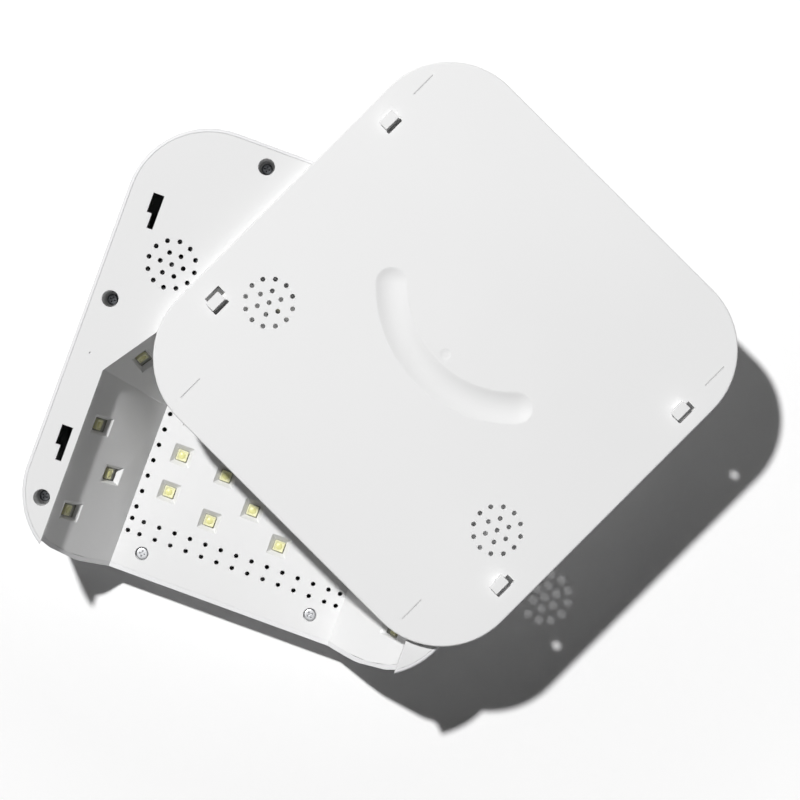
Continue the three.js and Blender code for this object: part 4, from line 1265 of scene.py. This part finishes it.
# Base tray, drawn in its own frame: x across, y to its front, z up out of its inner side
traySizes = {
    "turn": -24.9,
    "thickness": 2.4,
    "rimHeight": 5.2,
    "rimWall": 2,
    "edge": 0.8,
    "innerEdges": (0.4, 0.12),
    "holeEdge": 0.25,
    "lineEdge": 0.15,
    "shallowEdge": 0.1,
    "hooks": [(94.3, 59.05), (91.7, -59.05)],
    "hookLength": 8.3,
    "hookReach": 5.1,
    "neck": 2,
    "neckLength": 5.8,
    "neckSunk": 1.0,
    "headBottom": 8.0,
    "headTop": 9.2,
    "neckShort": 0.2,
    "blockCorner": 0.45,
    "blockEdge": 0.3,
    "blockFoot": 0.15,
    "opening": 6.9,
    "stubLength": 2,
    "stubWidth": 4.3,
    "leftShift": 1.4,  # the left hooks' openings lie further back
    "shallow": 0.12,
    "reliefWidth": 1.55,
    "reliefLength": 8.9,
    "reliefGap": 0.5,
    "reliefCorner": 0.4,
    "reliefFloor": 0.6,
    "reliefSkirt": 0.8,
    "grille": (76.0, -41.6),
    "gate": [(2.7, 0), (2.5, 0.12), (1.2, 0.12)],  # the gate mark's radius and depth
    "feet": [(97.2, 82.5), (73.8, -96.4)],
    "foot": (6, 14),
    "footCorner": 2.7,
    "footRise": -0.2,
    "footEdge": 0.6,
    "footSeatGap": 0.3,
    "footLine": (0.42, 12.7),
    "footLineCornerShare": 0.48,
    "footRibPlay": 0.05,
    "footRibSunk": 0.04,
}
grooveSizes = {
    "radius": 57.9,
    "apex": -12.1,
    "half": 7.25,
    "depth": 1.5,
    "spread": 46.3,
    "steps": 12,
    "lead": [(0.5, 0), (0.1, 0.05)],  # out past the groove's edge, and how deep there
    "backing": 1.2,
    "backingEdge": 0.4,
}


def bandOutline(half, steps=36, capSteps=10):
    g = grooveSizes
    centre = g["apex"] + g["radius"]
    low, high = -90 - g["spread"], -90 + g["spread"]
    points = arc(0, centre, g["radius"] + half, low, high, steps)
    for end, start in ((high, high), (low, low + 180)):
        x, y = g["radius"] * cos(radians(end)), centre + g["radius"] * sin(radians(end))
        points += arc(x, y, half, start, start + 180, capSteps)[1:-1]
        if end == high:
            points += arc(0, centre, g["radius"] - half, high, low, steps)
    return points


def grooveRings(top):
    g = grooveSizes
    radius = (g["half"] ** 2 + g["depth"] ** 2) / (2 * g["depth"])
    rings = [(top - deep, bandOutline(g["half"] + out)) for out, deep in g["lead"]]
    for i in range(1, g["steps"]):
        across = g["half"] * (1 - i / g["steps"])
        rings.append((top - g["depth"] + radius - sqrt(radius ** 2 - across ** 2), bandOutline(across)))
    return rings


def backingRings(bottom):
    g = grooveSizes
    under, edge = bottom - g["backing"], g["backingEdge"]
    outer, inner = (bandOutline(g["half"] + g["backing"] - inset) for inset in (0, edge))
    return [(bottom, outer), (under + edge, outer), (under, inner)]


def hookOutline(x, y, side, grow):
    t = traySizes
    half = t["hookLength"] / 2
    inner, outer = x + t["neck"] - grow, x + t["opening"] + grow
    stub = outer - t["stubWidth"] - 2 * grow
    shift = t["leftShift"] if side < 0 else 0
    front, middle, end = y - half + shift - grow, y + half + grow, y + half + t["stubLength"] + grow
    points = [(inner, front), (outer, front), (outer, end), (stub, end), (stub, middle), (inner, middle)]
    return [(side * a, b) for a, b in points]


def reliefOutline(x, y):
    t = traySizes
    middle = t["reliefGap"] + t["reliefWidth"] / 2 - x
    return growingBox(t["reliefWidth"], t["reliefLength"], t["reliefCorner"], 3, middle, y)


def addBlock(bm, width, depth, bottom, top, x, y):
    t = traySizes
    outline = growingBox(width, depth, t["blockCorner"], 3, x, y)
    rings = roundedEdge(shrinking(outline), top, t["blockEdge"], 3)
    rings += [(bottom + t["blockFoot"], outline(0)), (bottom, outline(-t["blockFoot"]))]
    ringBody(rings, bm=bm)


def trayFeetCentres():
    return [(side * x, y) for x, y in traySizes["feet"] for side in (-1, 1)]


def footLineOutline(x, y):
    width, length = traySizes["footLine"]
    return growingBox(width, length, traySizes["footLineCornerShare"] * width, 3, x, y)


def addHooks(bm, bottom):
    t = traySizes
    neckTop = t["headTop"] - t["neckShort"]
    for x, y in t["hooks"]:
        neckX, headX = x + t["neck"] / 2, x + t["hookReach"] / 2
        neckY = y + (t["hookLength"] - t["neckLength"]) / 2
        for side in (-1, 1):
            addBlock(bm, t["neck"], t["neckLength"], bottom + t["neckSunk"], neckTop, side * neckX, neckY)
            addBlock(bm, t["hookReach"], t["hookLength"], t["headBottom"], t["headTop"], side * headX, y)


def buildBaseTray(place):
    t = traySizes
    top, bottom = t["rimHeight"], t["rimHeight"] - t["thickness"]
    outside = roundedEdge(footprint, top, t["edge"], 5)
    chamfer, start = t["innerEdges"]
    outside += [(chamfer, footprint(0)), (start, footprint(start)), (0, footprint(chamfer))]
    outside += [(0, footprint(t["rimWall"])), (bottom, footprint(t["rimWall"]))]
    holes, pockets, backs = [], [grooveRings(top)], [backingRings(bottom)]
    for x, y in t["hooks"]:
        for side in (-1, 1):
            closed = side < 0 < y  # the rear left hook's opening ends in a shallow floor
            level = top - t["shallow"] if closed else bottom
            edge = t["shallowEdge"] if closed else t["holeEdge"]
            rings = throughHole(lambda grow: hookOutline(x, y, side, grow), top, level, edge)
            (pockets if closed else holes).append(rings)
        relief = reliefOutline(x, y)
        pockets.append(throughHole(relief, top, t["reliefFloor"], t["holeEdge"]))
        skirt = relief(t["reliefSkirt"])
        backs.append([(bottom, skirt), (t["reliefFloor"] / 2, skirt)])
    for side in (-1, 1):
        holes += grilleHoles(side * t["grille"][0], t["grille"][1], top, bottom)
    for x, y in trayFeetCentres():
        holes.append(throughHole(footLineOutline(x, y), top, bottom, t["lineEdge"]))
    pockets.append([(top - deep, circle(0, 0, radius, middleRound)) for radius, deep in t["gate"]])
    bm = ringBody(outside, holes, pockets, backs)
    addHooks(bm, bottom)
    piece = finishPiece(bm, "base_tray", ["tray"], "tray", place)
    steadyNormals(piece)


# Rubber feet on the tray's outer side, each with a rib up through its slot
def buildTrayFeet(place):
    t = traySizes
    seat = t["rimHeight"] - t["thickness"] - t["footSeatGap"]
    ribTop = t["rimHeight"] - t["footRibSunk"]
    for i, (x, y) in enumerate(trayFeetCentres(), 1):
        bm = bmesh.new()
        pad = growingBox(*t["foot"], t["footCorner"], 8, x, y)
        rings = roundedEdge(shrinking(pad), t["footRise"], t["footEdge"], 4, 1) + [(seat, pad(0))]
        rib = footLineOutline(x, y)(-t["footRibPlay"])
        start, end = ringChain(bm, rings)
        ribStart, ribEnd = ringChain(bm, [(seat, rib), (ribTop, rib)])
        for loops in ((start,), (end, ribStart), (ribEnd,)):
            fillFlat(bm, *loops)
        finishPiece(bm, f"tray_foot_{i}", ["foot"], "tray", place)


trayMiddle = centreOf("base_tray")
trayPlace = Matrix.Translation((trayMiddle.x, trayMiddle.y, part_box("base_tray")[0].z / mm))
trayPlace @= Matrix.Rotation(radians(traySizes["turn"]), 4, "Z")
buildBaseTray(trayPlace)
buildTrayFeet(trayPlace)
print("base tray built")


# Parts inside the case keep the frame's shape and get a finish by what they are
innerFinishes = {
    "main_board": "circuit",
    "display_module": "dark",
    "battery_cradle": "underside",
    "battery_cell": "cell",
    "board_screw": "steel",
    "button_switch": "dark",
    "fan": "dark",
}
for node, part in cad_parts.items():
    for kind, finish in innerFinishes.items():
        if kind in node:
            part.data.materials.clear()
            part.data.materials.append(finishes[finish])
print("inner parts finished")
